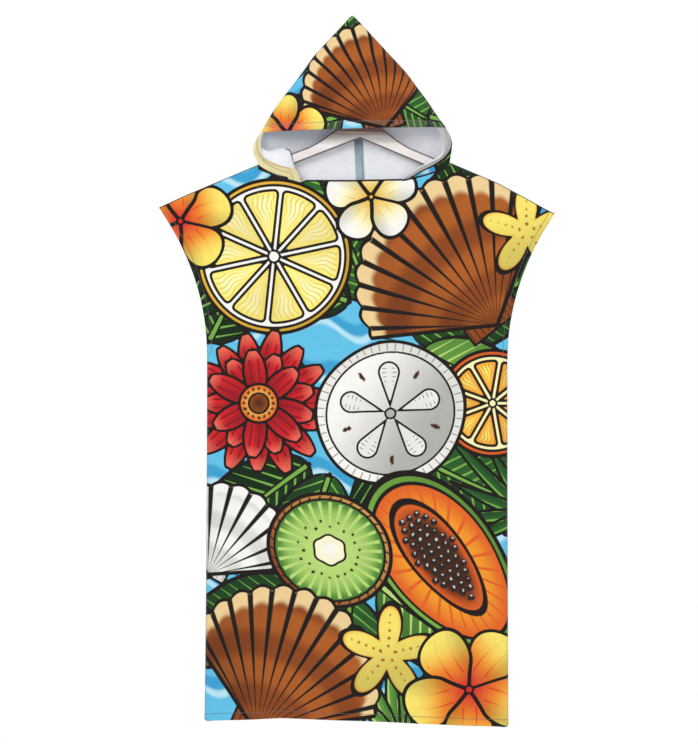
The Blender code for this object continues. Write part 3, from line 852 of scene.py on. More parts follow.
def wear_print(shell, source, art, hem, seam):
    """Puts a painted print on a shell. source is the painted point for each of its points.

    hem and seam are each point's distances to a hem's stitching and to a seam, with opposite
    signs on the two sides of each.
    """
    mesh = shell.data
    for name, colour in (("print_colour", art.colour), ("line_colour", art.line_colour)):
        layer = mesh.color_attributes.new(name, "FLOAT_COLOR", "POINT")
        opaque = np.column_stack([colour, np.ones(len(colour))])[source]
        layer.data.foreach_set("color", opaque.astype(np.float32).ravel())
    for name, values in (("ink", art.ink), ("phase", art.phase), ("line_share", art.line_share)):
        layer = mesh.attributes.new(name, "FLOAT", "POINT")
        layer.data.foreach_set("value", values[source].astype(np.float32))
    for name, pair in (("cut", art.p), ("sewn", np.stack([hem.ravel(), seam.ravel()], axis=1))):
        layer = mesh.attributes.new(name, "FLOAT_VECTOR", "POINT")
        vectors = np.pad(pair[source], ((0, 0), (0, 1)))
        layer.data.foreach_set("vector", vectors.astype(np.float32).ravel())


# The print: flat shapes painted one over another at the cloth's points.


class Print:
    """Paint on flat cloth. ink is positive inside an inked outline, in metres from its edge.

    Thin lines come from a phase: they lie where it is a whole number and a half, and
    line_share is the share of the spacing that they cover, or -1 where there are none.
    """

    def __init__(self, points, ground):
        self.p = points
        count = len(points)
        self.colour = np.tile(np.array(ground, float), (count, 1))
        self.line_colour = np.zeros((count, 3))
        self.ink = np.full(count, -1.0)
        self.phase = np.zeros(count)
        self.line_share = np.full(count, -1.0)

    def fill(self, distance, colour, line=OUTLINE):
        """Fills the shape where distance is negative, and inks its outline."""
        inside = distance < 0
        colour = np.broadcast_to(np.asarray(colour, float), self.colour.shape)
        self.colour[inside] = colour[inside]
        self.line_share[inside] = -1.0
        self.ink = np.minimum(self.ink, distance)
        if line:
            self.ink = np.maximum(self.ink, line / 2 - np.abs(distance))

    def tint(self, share, colour):
        """Mixes a colour in, by each point's share of it."""
        self.colour = blend(share, self.colour, colour)

    def dots(self, x, y, places, radius, colour, line=0.0):
        """Round dots at places, where x and y are each point's own axes."""
        for dot_x, dot_y in places:
            self.fill(np.hypot(x - dot_x, y - dot_y) - radius, colour, line)

    def axes(self, centre, angle):
        """x along a direction in degrees from centre, and y to its left, of each point."""
        turn = math.radians(angle)
        off = self.p - np.asarray(centre, float)
        x = off[:, 0] * math.cos(turn) + off[:, 1] * math.sin(turn)
        return x, off[:, 1] * math.cos(turn) - off[:, 0] * math.sin(turn)

    def hatch(self, distance, phase, share, colour):
        """Thin lines of a colour inside the shape where distance is negative."""
        inside = distance < 0
        self.phase[inside] = np.broadcast_to(phase, inside.shape)[inside]
        self.line_share[inside] = np.broadcast_to(share, inside.shape)[inside]
        self.line_colour[inside] = colour

    def split(self, faces):
        """The same faces, each quad split along the diagonal where the print changes least.

        Where an inked line or a gap between two lines is as thin as the quads, the split
        runs along it, so that it isn't cut up.
        """
        ink = np.clip(self.ink, -INK_REACH, INK_REACH) / INK_STEP
        lines = self.phase * (self.line_share > 0)
        a, b, c, d = np.column_stack([ink, lines, self.colour])[faces].transpose(1, 0, 2)
        change = np.abs(b - d).sum(axis=1) - np.abs(a - c).sum(axis=1)
        inked = np.sign(a[:, 0] + b[:, 0] + c[:, 0] + d[:, 0])
        along = inked * (b[:, 0] + d[:, 0] - a[:, 0] - c[:, 0])
        turned = (change < along) & (faces[:, 3] >= 0)
        return np.where(turned[:, None], np.roll(faces, -1, axis=1), faces)


def blend(share, first, second):
    """The colour from first to second at each point's share."""
    share = np.clip(share, 0.0, 1.0)[:, None]
    return np.asarray(first) * (1 - share) + np.asarray(second) * share


def darker(colour, share):
    """The colour, darkened by each point's share."""
    return colour * (1 - share)[:, None]


def swing(turn):
    """A soft wave between 0 and 1."""
    return 0.5 + 0.5 * np.sin(turn)


def strip(x, y, length, half):
    """Distance to a strip along x from the origin, with its half width at each point."""
    return np.maximum(np.abs(y) - half, np.maximum(-x, x - length))


def drop_shape(x, y, centre, radius):
    """Distance to a drop along x: a disc round centre, drawn out to a point at the origin."""
    slope = math.asin(radius / centre)
    y = np.abs(y)
    along = x * math.cos(slope) + y * math.sin(slope)
    wedge = y * math.cos(slope) - x * math.sin(slope)
    return np.where(along > centre * math.cos(slope), np.hypot(x - centre, y) - radius, wedge)


def on_circle(count, radius, sway=0.0):
    """Places round a circle, some a little nearer and farther than the rest."""
    places = []
    for number in range(count):
        turn = 2 * math.pi * number / count
        away = radius * (1 + sway * math.sin(3.3 * number))
        places.append((away * math.cos(turn), away * math.sin(turn)))
    return places


# The motifs. Their bare numbers are shares of their own size, or shape their curves.


def leaf(art, base, angle, length, width, bend, tones, *slits):
    """A paddle leaf with a pale midrib and side veins.

    bend is how far its tip swings. A slit is its place along the leaf, its side and its depth.
    """
    dark, middle, light = tones
    x, y = art.axes(base, angle)
    y = y - bend * (x / length) ** 2 * length
    t = np.clip(x / length, 0.0, 1.0)
    half = width / 2 * np.sin(np.pi * t**0.72) ** 0.8
    edge = strip(x, y, length, half) * 0.88
    for place, side, depth in slits:
        off = (x - place * length - VEIN_LEAN * np.abs(y)) * 0.8
        wedge = np.abs(off) - 0.16 * (np.abs(y) - (1.0 - depth) * half)
        edge = np.maximum(edge, np.where(y * side > 0, -wedge, edge))
    across = np.abs(y) / np.maximum(half, 1e-6)
    shade = blend(np.where(y > 0, 0.25, 0.75) + 0.35 * (across - 0.5), middle, dark)
    art.fill(edge, darker(shade, 0.25 * (1 - t)))
    veins = (x - VEIN_LEAN * np.abs(y)) / max(VEIN_SPACING, length / VEINS)
    art.hatch(edge, veins, 0.26 * (1.15 - across), light)
    rib = np.abs(y) - 0.0055 * (1.15 - t)
    art.fill(np.maximum(rib, edge + 0.004), light, FINE_LINE)


def blades(art, base, angles, length, width, tones):
    """A spray of narrow pointed leaves."""
    dark, middle, light = tones
    for number, angle in enumerate(angles):
        long = length * (0.82 + 0.18 * math.cos(3.1 * number))
        x, y = art.axes(base, angle)
        y = y - 0.10 * math.sin(1.7 * number + 0.6) * x * x / long
        t = np.clip(x / long, 0.0, 1.0)
        half = width / 2 * (1 - t) ** 0.7 * (0.55 + 0.45 * np.sin(np.pi * t))
        edge = strip(x, y, long, half) * 0.95
        art.fill(edge, blend((y / np.maximum(half, 1e-6) + 1) / 2, dark, middle), LINE)
        art.hatch(edge + 0.002, y / (width * 0.5) + 0.1, 0.30 * (1 - t), light)


def flower(art, centre, radius, angle, tones):
    """Five smooth petals that overlap like a pinwheel, shaded from the throat to the rim."""
    throat, middle, rim = tones
    for number in range(5):
        x, y = art.axes(centre, angle + 72 * number)
        y = y - 0.16 * radius * np.sin(np.clip(x / radius, 0, 1) * 2.5)
        t = np.clip(x / radius, 0.0, 1.0)
        shade = blend(smooth(t * 1.7), throat, middle)
        shade = shade + (rim - middle) * smooth((t - 0.35) / 0.5)[:, None]
        edge = drop_shape(x, y, 0.61 * radius, 0.39 * radius)
        art.fill(edge, darker(shade, 0.30 * smooth(-y / (0.34 * radius))))
        art.hatch(edge + 0.010, y / (0.21 * radius) + 0.1, 0.10 * smooth(1.6 - 2.4 * t), throat)
    art.dots(*art.axes(centre, 0.0), [(0.0, 0.0)], 0.06 * radius, throat, FINE_LINE)


def gerbera(art, centre, radius, angle, tones):
    """A daisy with two rings of narrow petals round a dark eye."""
    dark, middle, light = tones
    for petals, reach, offset in ((15, 1.0, 0.0), (13, 0.74, 9.0)):
        for number in range(petals):
            x, y = art.axes(centre, angle + offset + 360.0 * (number * 2 % petals) / petals)
            long = radius * reach * (0.95 + 0.05 * math.cos(4.1 * number))
            t = np.clip(x / long, 0.0, 1.0)
            half = 0.150 * radius * np.sin(np.pi * (0.08 + 0.90 * t) ** 1.3) ** 0.6
            edge = strip(x, y, 0.985 * long, half) * 0.95
            shade = darker(blend(t * 1.25 - 0.15, dark, middle), 0.22 * (y > 0))
            shade = shade + (light - middle) * smooth((t - 0.72) / 0.3)[:, None]
            art.fill(edge, shade, LINE)
            art.hatch(edge + 0.003, y / (0.11 * radius), 0.20 * (t < 0.8), dark)
    x, y = art.axes(centre, 0.0)
    far = np.hypot(x, y) / radius
    art.fill((far - 0.25) * radius, blend(far / 0.24, LEMON, FLAME), LINE)
    art.fill((far - 0.13) * radius, blend(far / 0.12, UMBER, BROWN), FINE_LINE)
    art.dots(x, y, on_circle(16, 0.19 * radius), 0.020 * radius, UMBER)


def citrus(art, centre, radius, angle, tones, parts=10):
    """A round slice of citrus fruit: rind, pith, and juicy segments."""
    rind, pith, flesh, pale = tones
    x, y = art.axes(centre, angle)
    far = np.hypot(x, y)
    turn = np.arctan2(y, x)
    art.fill(far - radius, blend(swing(turn - 0.8), rind * 0.72, rind))
    art.fill(far - radius + RIND, pith, LINE)
    part = turn / (2 * math.pi / parts)
    number = np.floor(part)
    off = np.abs(part - number - 0.5) * 2 * math.pi / parts
    rounding = 0.055 * radius
    side = PITH / 2 - far * np.sin(math.pi / parts - off)
    outer = far - radius + RIND + PITH
    corner = np.hypot(np.maximum(side + rounding, 0), np.maximum(outer + rounding, 0)) - rounding
    rounded = (side > -rounding) & (outer > -rounding)
    segment = np.where(rounded, corner, np.maximum(side, outer))
    segment = np.maximum(segment, 0.085 * radius - far)
    shade = blend(smooth(-segment / (0.16 * radius)), flesh, pale)
    art.fill(segment, np.clip(darker(shade, 0.10 * np.sin(3 * turn + 1.0)), 0, 1), LINE)
    streak = (part - number) * 7.0 + 0.35 * np.sin(far / (0.05 * radius) + 2.1 * number)
    art.hatch(segment + 0.004, streak, 0.30 * smooth(far / radius * 1.6 - 0.25), flesh * 0.82)
    art.fill(far - 0.075 * radius, pith, FINE_LINE)


def scallop(art, centre, radius, angle, tones, ribs):
    """A scallop shell, fanned from its hinge, with bands of colour across its ribs."""
    dark, middle, light, pale = tones
    x, y = art.axes(centre, angle)
    x = x + 0.85 * radius
    far = np.hypot(x, y)
    turn = np.arctan2(y, x)
    widest = math.radians(58)
    fan = turn / widest
    rib = fan * ribs / 2 + 0.5 * (ribs % 2)
    reach = radius * (1.92 - 0.42 * fan**2) * (0.975 + 0.035 * np.abs(np.cos(math.pi * rib)))
    side = far * np.sin(np.abs(turn) - widest)
    side = np.where(np.abs(turn) > widest + math.pi / 2, far, side)
    edge = np.maximum(far - reach, side * 0.9)
    ear = np.maximum(np.abs(x - 0.10 * radius) - 0.13 * radius, np.abs(y) - 0.36 * radius)
    art.fill(ear, middle, LINE)
    art.hatch(ear + 0.003, y / 0.012, 0.2, dark)
    band = swing(far / radius * 9.5 + 0.5 * np.cos(3 * turn))
    shade = darker(blend(smooth(band * 1.3 - 0.15), middle, light), 0.35 * smooth(fan * 0.9))
    art.fill(edge, blend(smooth((far / reach - 0.86) / 0.05), shade, pale))
    art.tint(smooth(1.0 - far / (0.42 * radius)) * (edge < 0) * 0.6, dark)
    art.hatch(edge + 0.002, rib, 0.16 + 0.10 * smooth(far / radius - 0.4), INK)


def sand_dollar(art, centre, radius, angle):
    """A round white urchin skeleton, with five petal shapes on it."""
    x, y = art.axes(centre, angle)
    far = np.hypot(x, y * 1.06)
    turn = np.arctan2(y, x)
    edge = far - radius * (1 + 0.012 * np.cos(5 * turn))
    art.fill(edge, blend(swing(turn + 0.9), WHITE, PEARL))
    disc = far - 0.86 * radius
    lit = smooth(0.55 + 0.8 * (x * 0.6 - y * 0.8) / radius)
    art.fill(disc, blend(lit, WHITE, GREY), FINE_LINE)
    art.hatch(np.maximum(-disc, edge) + 0.003, turn * 26 / math.pi, 0.13, GREY * 0.6)
    for number in range(5):
        x, y = art.axes(centre, angle + 72 * number)
        petal = drop_shape(x - 0.11 * radius, y, 0.44 * radius, 0.135 * radius)
        art.fill(petal, blend(x / radius, PEARL, WHITE), FINE_LINE)
        art.hatch(petal + 0.004, x / 0.0085, 0.2 * (np.abs(y) > 0.04 * radius), GREY * 0.5)
        x, y = art.axes(centre, angle + 36 + 72 * number)
        art.fill(np.hypot((x - 0.62 * radius) * 0.42, y) - 0.028 * radius, UMBER, 0.0)
    art.fill(far - 0.07 * radius, GREY, FINE_LINE)


def kiwi(art, centre, radius, angle, squash):
    """Half a kiwi fruit: brown skin, green flesh with pale rays, and dark seeds."""
    x, y = art.axes(centre, angle)
    y = y / squash
    far = np.hypot(x, y) / radius
    turn = np.arctan2(y, x)
    scale = radius * squash
    skin = (far - 1.0) * scale
    art.fill(skin, blend(swing(turn + 0.4), BROWN, TAN))
    art.hatch(skin + 0.003, turn * 17 / math.pi + far * 4, 0.22, UMBER)
    flesh = (far - 0.90) * scale
    colour = blend(smooth(far * 1.5 - 0.45), LIME, FRESH)
    art.fill(flesh, blend(smooth(far * 3.2 - 2.05), colour, LEAF), FINE_LINE)
    art.hatch(flesh + 0.004, turn * 15 / math.pi, 0.34 * (far > 0.34), LIME)
    art.dots(x, y, on_circle(22, 0.47 * radius, 0.11), 0.026 * radius, UMBER * 0.4)
    heart = (far - 0.26 * (1 + 0.05 * np.cos(6 * turn))) * scale
    art.fill(heart, blend(far * 3, WHITE, CREAM), FINE_LINE)


def papaya(art, centre, length, width, angle, tones):
    """Half a papaya cut lengthwise: skin, flesh and a hollow full of round seeds."""
    skin, flesh, deep = tones
    x, y = art.axes(centre, angle)
    taper = width * np.maximum(0.5 - 0.13 * x / length, 0.01)
    edge = (np.hypot(x / (0.505 * length), y / taper) - 1) * width * 0.44
    art.fill(edge, blend(0.5 + y / width, skin, skin * 0.6))
    inner = edge + RIND
    art.fill(inner, blend(smooth(-inner / 0.035), deep, flesh), FINE_LINE)
    art.hatch(inner + 0.004, np.arctan2(y, x * 0.5) * 13 / math.pi, 0.20, deep)
    x = x + 0.03 * length
    taper = width * np.maximum(0.235 - 0.10 * x / length, 0.01)
    hollow = (np.hypot(x / (0.335 * length), y / taper) - 1) * width * 0.2
    art.fill(hollow, blend(smooth(-hollow / 0.02), FLAME, UMBER), LINE)
    seeds = []
    for row in range(-8, 9):
        for column in range(-3, 4):
            place = np.array((row, column + 0.5 * (row % 2))) * SEED_SPACING
            room = width * (0.235 - 0.10 * place[0] / length)
            if math.hypot(place[0] / (0.335 * length), place[1] / room) < 0.80:
                seeds.append(place + 0.0025 * np.array((math.sin(7 * column), math.cos(5 * row))))
    art.dots(x, y, seeds, SEED_RADIUS, INK * 2.5)
    art.dots(x, y, [seed + (-0.002, 0.0024) for seed in seeds], 0.3 * SEED_RADIUS, PEARL)


def starfish(art, centre, radius, angle, tones):
    """A five-armed starfish with rows of dots."""
    dark, middle, light = tones
    x, y = art.axes(centre, angle)
    reach = radius * (0.36 + 0.64 * np.abs(np.cos(2.5 * np.arctan2(y, x))) ** 1.5)
    edge = (np.hypot(x, y) - reach) * 0.62
    shade = blend(smooth(-edge / (0.10 * radius)), middle, light)
    art.fill(edge, darker(shade, 0.3 * smooth(0.5 - y / radius)))
    for step in range(1, 6):
        size = 0.030 * radius * (1.25 - 0.13 * step)
        art.dots(x, y, on_circle(5, 0.155 * step * radius), size, dark)


def waves(art, tone, crest):
    """Curling bands of lighter water over the ground."""
    x, z = art.p.T
    swell = z + 0.016 * np.sin(x / 0.041 + 1.3) + 0.009 * np.sin(x / 0.017 + z * 21)
    art.tint(0.9 * smooth(4 * swing(swell / 0.016) - 2.6), tone)
    art.tint(smooth(9 * swing(swell / 0.016 + 0.9) - 8.1), crest)


def painted(points, motifs):
    """The print at points of flat cloth: its motifs over waves, each over those before it."""
    art = Print(points, SKY)
    waves(art, SEA, FOAM)
    for motif, *sizes in motifs:
        motif(art, *sizes)
    return art


GREENS = (FOREST, LEAF, FRESH)
BRIGHT = (LEAF, FRESH, LIME)
DEEP = (FOREST * 0.5, FOREST * 0.9, FRESH)
RED_PETALS = (WINE, RED, CORAL)
GOLD_PETALS = (RED, ORANGE, LEMON)
WHITE_PETALS = (GOLD, CREAM, WHITE)
LEMON_SLICE = (GOLD, WHITE, LEMON, CREAM)
ORANGE_SLICE = (FLAME, CREAM, ORANGE, LEMON)
BROWN_SHELL = (UMBER, BROWN, RUSSET, SAND)
PALE_SHELL = (GREY, PEARL, WHITE, WHITE)
PAPAYA = (FRESH, ORANGE, FLAME)
STAR = (RUSSET, ORANGE, LEMON)

# The prints: each motif, its place, and what else it takes.
FRONT_PRINT = (
    (leaf, (-0.30, -0.52), 62, 0.36, 0.15, 0.10, DEEP, (0.5, -1, 0.6)),
    (leaf, (0.02, -0.44), 108, 0.34, 0.15, 0.10, GREENS, (0.45, 1, 0.7), (0.6, -1, 0.6)),
    (leaf, (-0.02, -0.44), 160, 0.38, 0.15, -0.14, DEEP, (0.5, 1, 0.6)),
    (leaf, (0.08, -0.46), 62, 0.36, 0.15, 0.10, DEEP, (0.5, 1, 0.6)),
    (leaf, (0.10, -0.50), 18, 0.36, 0.16, 0.12, GREENS, (0.4, 1, 0.7), (0.62, 1, 0.6)),
    (leaf, (0.12, -0.54), -24, 0.34, 0.15, -0.14, BRIGHT, (0.5, -1, 0.6)),
    (leaf, (-0.10, -0.58), 196, 0.34, 0.15, 0.12, GREENS, (0.5, -1, 0.6)),
    (leaf, (-0.10, -0.76), 214, 0.38, 0.16, 0.12, DEEP, (0.42, 1, 0.7), (0.6, -1, 0.6)),
    (leaf, (-0.06, -0.78), 252, 0.36, 0.16, -0.10, GREENS, (0.5, 1, 0.6)),
    (leaf, (0.02, -0.76), -70, 0.36, 0.16, 0.10, DEEP, (0.5, 1, 0.6)),
    (leaf, (0.10, -0.74), -28, 0.40, 0.16, 0.10, GREENS, (0.45, -1, 0.6), (0.6, 1, 0.5)),
    (leaf, (0.04, -1.00), -40, 0.38, 0.16, 0.14, BRIGHT, (0.5, 1, 0.6)),
    (leaf, (-0.02, -1.02), -92, 0.34, 0.16, -0.10, GREENS),
    (leaf, (-0.10, -1.02), 196, 0.34, 0.16, 0.14, GREENS, (0.5, -1, 0.6)),
    (blades, (-0.34, -0.47), (86, 66, 46, 26, 108), 0.24, 0.036, DEEP),
    (blades, (0.33, -0.86), (95, 116, 138, 160, 182, 204), 0.26, 0.036, GREENS),
    (blades, (0.07, -1.30), (60, 78, 96, 114, 132), 0.22, 0.036, BRIGHT),
    (scallop, (0.185, -0.375), 0.165, 128, BROWN_SHELL, 13),
    (citrus, (-0.170, -0.350), 0.152, 12, LEMON_SLICE),
    (flower, (-0.355, -0.280), 0.105, 10, GOLD_PETALS),
    (flower, (0.022, -0.232), 0.092, 10, WHITE_PETALS),
    (starfish, (0.330, -0.300), 0.095, 20, STAR),
    (citrus, (0.262, -0.640), 0.105, 40, ORANGE_SLICE, 9),
    (gerbera, (-0.200, -0.640), 0.152, 5, RED_PETALS),
    (sand_dollar, (0.060, -0.660), 0.148, 20),
    (scallop, (-0.262, -0.905), 0.098, 62, PALE_SHELL, 9),
    (papaya, (0.165, -0.955), 0.40, 0.225, -52, PAPAYA),
    (kiwi, (-0.060, -0.930), 0.125, -28, 0.86),
    (scallop, (-0.150, -1.170), 0.155, 66, BROWN_SHELL, 13),
    (starfish, (0.055, -1.135), 0.100, 14, STAR),
    (flower, (0.215, -1.205), 0.130, 40, GOLD_PETALS),
)
BACK_PRINT = (
    (leaf, (0.00, -0.50), 84, 0.36, 0.16, -0.10, GREENS, (0.45, 1, 0.7), (0.6, -1, 0.6)),
    (leaf, (0.04, -0.50), 34, 0.38, 0.15, 0.12, DEEP, (0.5, 1, 0.6)),
    (leaf, (0.06, -0.54), -8, 0.36, 0.16, 0.12, GREENS, (0.5, 1, 0.6)),
    (leaf, (-0.05, -0.52), 150, 0.38, 0.16, 0.10, DEEP, (0.4, 1, 0.7)),
    (leaf, (-0.06, -0.56), 192, 0.36, 0.16, 0.10, GREENS, (0.5, 1, 0.6)),
    (leaf, (0.08, -0.80), -14, 0.36, 0.16, 0.10, DEEP, (0.5, -1, 0.6)),
    (leaf, (0.06, -0.82), -58, 0.38, 0.16, 0.10, GREENS, (0.5, -1, 0.6)),
    (leaf, (-0.08, -0.78), 174, 0.34, 0.16, 0.12, BRIGHT, (0.5, 1, 0.6)),
    (leaf, (-0.08, -0.86), 222, 0.38, 0.16, -0.12, DEEP, (0.5, 1, 0.6)),
    (leaf, (0.00, -0.92), -96, 0.38, 0.16, 0.10, BRIGHT, (0.5, 1, 0.6)),
    (leaf, (-0.06, -1.08), 206, 0.34, 0.16, 0.10, GREENS),
    (leaf, (0.10, -1.06), -28, 0.34, 0.16, 0.10, DEEP),
    (blades, (-0.33, -0.66), (80, 58, 36, 14, -8, -30), 0.26, 0.036, GREENS),
    (blades, (0.33, -1.04), (100, 122, 144, 166, 190, 212), 0.26, 0.036, GREENS),
    (scallop, (-0.180, -0.375), 0.155, 60, BROWN_SHELL, 13),
    (gerbera, (0.205, -0.400), 0.150, 5, RED_PETALS),
    (citrus, (0.020, -0.660), 0.155, 5, LEMON_SLICE),
    (papaya, (-0.190, -0.840), 0.40, 0.225, 64, PAPAYA),
    (sand_dollar, (0.200, -0.860), 0.145, 0),
    (kiwi, (0.130, -1.120), 0.135, 20, 0.88),
    (starfish, (-0.010, -0.340), 0.110, 40, STAR),
    (flower, (-0.160, -1.140), 0.140, 30, GOLD_PETALS),
    (flower, (0.000, -0.905), 0.090, 50, WHITE_PETALS),
    (citrus, (-0.330, -0.270), 0.090, 15, ORANGE_SLICE, 9),
    (flower, (0.350, -0.280), 0.095, 20, WHITE_PETALS),
)
HOOD_PRINT = (
    (leaf, (-0.02, -0.20), 196, 0.28, 0.13, -0.12, DEEP, (0.5, 1, 0.6)),
    (leaf, (0.02, -0.14), -24, 0.28, 0.13, -0.10, GREENS, (0.5, -1, 0.6)),
    (leaf, (0.00, -0.12), 96, 0.20, 0.12, 0.05, GREENS),
    (leaf, (0.09, -0.09), 8, 0.28, 0.13, 0.10, GREENS, (0.5, 1, 0.6)),
    (leaf, (0.15, -0.20), -10, 0.26, 0.13, 0.10, DEEP, (0.5, 1, 0.6)),
    (leaf, (-0.08, -0.08), 176, 0.28, 0.13, -0.10, DEEP, (0.5, 1, 0.6)),
    (leaf, (-0.18, -0.21), 184, 0.26, 0.13, 0.10, BRIGHT, (0.5, 1, 0.6)),
    (leaf, (-0.06, -0.02), 150, 0.20, 0.11, 0.06, GREENS),
    (flower, (0.120, -0.012), 0.070, 20, WHITE_PETALS),
    (scallop, (0.035, -0.135), 0.112, 108, BROWN_SHELL, 13),
    (flower, (-0.130, -0.235), 0.080, 12, GOLD_PETALS),
    (citrus, (0.262, -0.145), 0.082, 12, LEMON_SLICE),
    (gerbera, (-0.255, -0.130), 0.088, 40, RED_PETALS),
)


# Materials.


class Finish:
    """A material in the making. What adds a node to it gives that node's output."""

    def __init__(self, name, settings):
        self.material = bpy.data.materials.new(name)
        self.material.use_nodes = True
        self.shader = self.material.node_tree.nodes["Principled BSDF"]
        self.put(self.shader, settings)

    def put(self, node, inputs):
        """Sets a node's inputs, each to a value or to the output of another node."""
        for socket, value in inputs.items():
            if isinstance(value, bpy.types.NodeSocket):
                self.material.node_tree.links.new(value, node.inputs[socket])
            else:
                node.inputs[socket].default_value = value

    def add(self, kind, inputs, output, **settings):
        node = self.material.node_tree.nodes.new("ShaderNode" + kind)
        for key, value in settings.items():
            setattr(node, key, value)
        self.put(node, inputs)
        return node.outputs[output]

    def layer(self, name, output="Fac"):
        """What is painted at the cloth's points under a name."""
        return self.add("Attribute", {}, output, attribute_name=name)

    def place(self):
        return self.add("TexCoord", {}, "Object")

    def part(self, vector, axis):
        return self.add("SeparateXYZ", {0: vector}, axis)

    def stretch(self, vector, scale):
        return self.add("Mapping", {"Vector": vector, "Scale": scale}, "Vector")

    def maths(self, operation, *values):
        return self.add("Math", dict(enumerate(values)), "Value", operation=operation)

    def noise(self, place, scale, detail):
        inputs = {"Vector": place, "Scale": scale, "Detail": detail}
        return self.add("TexNoise", inputs, "Fac")

    def ramp(self, value, start=0.0, end=1.0, low=0.0, high=1.0):
        """low to high as value goes from start to end."""
        inputs = {"Value": value, "From Min": start, "From Max": end, "To Min": low, "To Max": high}
        return self.add("MapRange", inputs, "Result")

    def mix(self, share, first, second):
        """From the first colour to the second by a share."""
        inputs = {"Factor": share}
        for socket, colour in (("A", first), ("B", second)):
            joined = isinstance(colour, bpy.types.NodeSocket)
            inputs[socket] = colour if joined else (*colour, 1.0)
        return self.add("Mix", inputs, "Result", data_type="RGBA")

    def bump(self, height, strength):
        inputs = {"Height": height, "Strength": strength, "Distance": BUMP_DEPTH}
        self.put(self.shader, {"Normal": self.add("Bump", inputs, "Normal")})

    def nap(self, place, strength):
        """The cloth's short nap over its fine weave, as a bump. Gives the nap alone."""
        nap = self.noise(place, scale=900.0, detail=3.0)
        weave = self.add("TexVoronoi", {"Vector": place, "Scale": 620.0}, "Distance")
        self.bump(self.maths("ADD", nap, weave), strength)
        return nap

    def done(self, colour):
        """The material, with its colour joined."""
        self.put(self.shader, {"Base Color": colour})
        return self.material


def printed_cloth():
    """Printed cloth: fills, thin lines and ink, painted shade in the stitches' grooves and along
    the seams, and a faded nap.
    """
    cloth = Finish("printed_towel", PRINTED_SHADER)
    place = cloth.layer("cut", "Vector")
    off_line = cloth.maths("SUBTRACT", cloth.maths("FRACT", cloth.layer("phase")), 0.5)
    twice = cloth.maths("MULTIPLY", cloth.maths("ABSOLUTE", off_line), 2.0)
    within = cloth.maths("SUBTRACT", cloth.layer("line_share"), twice)
    lined = cloth.ramp(within, -HATCH_BLEED, HATCH_BLEED)
    fill = cloth.layer("print_colour", "Color")
    hatched = cloth.mix(lined, fill, cloth.layer("line_colour", "Color"))

    wander = cloth.noise(place, scale=260.0, detail=2.0)
    bleed = cloth.ramp(wander, low=-INK_BLEED, high=INK_BLEED)
    reach = cloth.maths("ADD", cloth.layer("ink"), bleed)
    inked = cloth.mix(cloth.ramp(reach, -INK_BLEED, INK_BLEED), hatched, INK)

    # Painted shade: darker near the stitches and the seams.
    sewn = cloth.layer("sewn", "Vector")
    hem, seam = (cloth.maths("ABSOLUTE", cloth.part(sewn, axis)) for axis in "XY")
    groove_shade = cloth.ramp(cloth.maths("MINIMUM", hem, seam), end=GROOVE_WIDTH, low=GROOVE_PAINTED_SHADE)
    cloudy = cloth.noise(place, scale=38.0, detail=4.0)
    shade = cloth.maths("MULTIPLY", cloth.ramp(cloudy, low=0.93, high=1.07), groove_shade)
    shaded = cloth.add("VectorMath", {0: inked, "Scale": shade}, "Vector", operation="SCALE")
    lifted = cloth.ramp(cloth.nap(place, strength=0.35), start=0.55, high=0.10)
    return cloth.done(cloth.mix(lifted, shaded, NAP_TIPS))


def plain_cloth(name, colour, shade, painted_shade=None, place_of_painted_shade=None):
    """Unprinted cloth: a colour, the shade that its nap turns to, and a painted shade in one place.
    """
    cloth = Finish(name, PLAIN_SHADER)
    place = cloth.place()
    cloudy = cloth.noise(place, scale=45.0, detail=3.0)
    amount = cloth.maths("MULTIPLY", cloth.nap(place, strength=0.5), cloudy)
    mixed = cloth.mix(cloth.ramp(amount, start=0.12, end=0.38), shade, colour)
    if not painted_shade:
        return cloth.done(mixed)
    # The painted shade comes in over the given ranges of the object's own coordinates.
    spans = [cloth.ramp(cloth.part(place, axis), *span) for axis, span in place_of_painted_shade.items()]
    share = spans[0]
    for span in spans[1:]:
        share = cloth.maths("MULTIPLY", share, span)
    return cloth.done(cloth.mix(share, mixed, painted_shade))


def sewing_thread():
    """Grey cotton thread, with its fine twist."""
    cotton = Finish("sewing_thread", {"Roughness": 0.7})
    twist = cotton.noise(cotton.place(), scale=1600.0, detail=1.0)
    return cotton.done(cotton.mix(twist, THREAD_DARK, THREAD_PALE))


def pale_wood():
    """Varnished wood with a long grain, and painted shade: browner towards the collar under the
    brim, and darker along the edges that turn from front and back.
    """
    wood = Finish("pale_wood_grain", {"Roughness": 0.45, "Coat Weight": 0.2})
    place = wood.place()
    along = wood.stretch(place, scale=(7.0, 60.0, 150.0))
    warp = wood.noise(along, scale=1.2, detail=5.0)
    rings = wood.add("TexWave", {"Vector": along, "Scale": 0.22, "Distortion": 5.0}, "Fac")
    grain = wood.maths("MULTIPLY", warp, rings)
    wood.bump(grain, strength=0.15)
    # Painted shade under the brim: browner high up towards the collar.
    high = wood.ramp(wood.part(place, "Z"), *WOOD_SHADE_HEIGHTS)
    brim_shade = wood.maths("MULTIPLY", high, warp)
    brim_shaded = wood.mix(brim_shade, wood.mix(grain, WOOD_PALE, WOOD_STREAK), WOOD_SHADE_BROWN)
    # Painted shade: darker where the surface turns from front and back.
    facing = wood.part(wood.add("TexCoord", {}, "Normal"), "Y")
    edge = wood.ramp(wood.maths("ABSOLUTE", facing), *WOOD_EDGE_SHADE_FACING)
    return wood.done(wood.mix(edge, brim_shaded, WOOD_EDGE_SHADE))


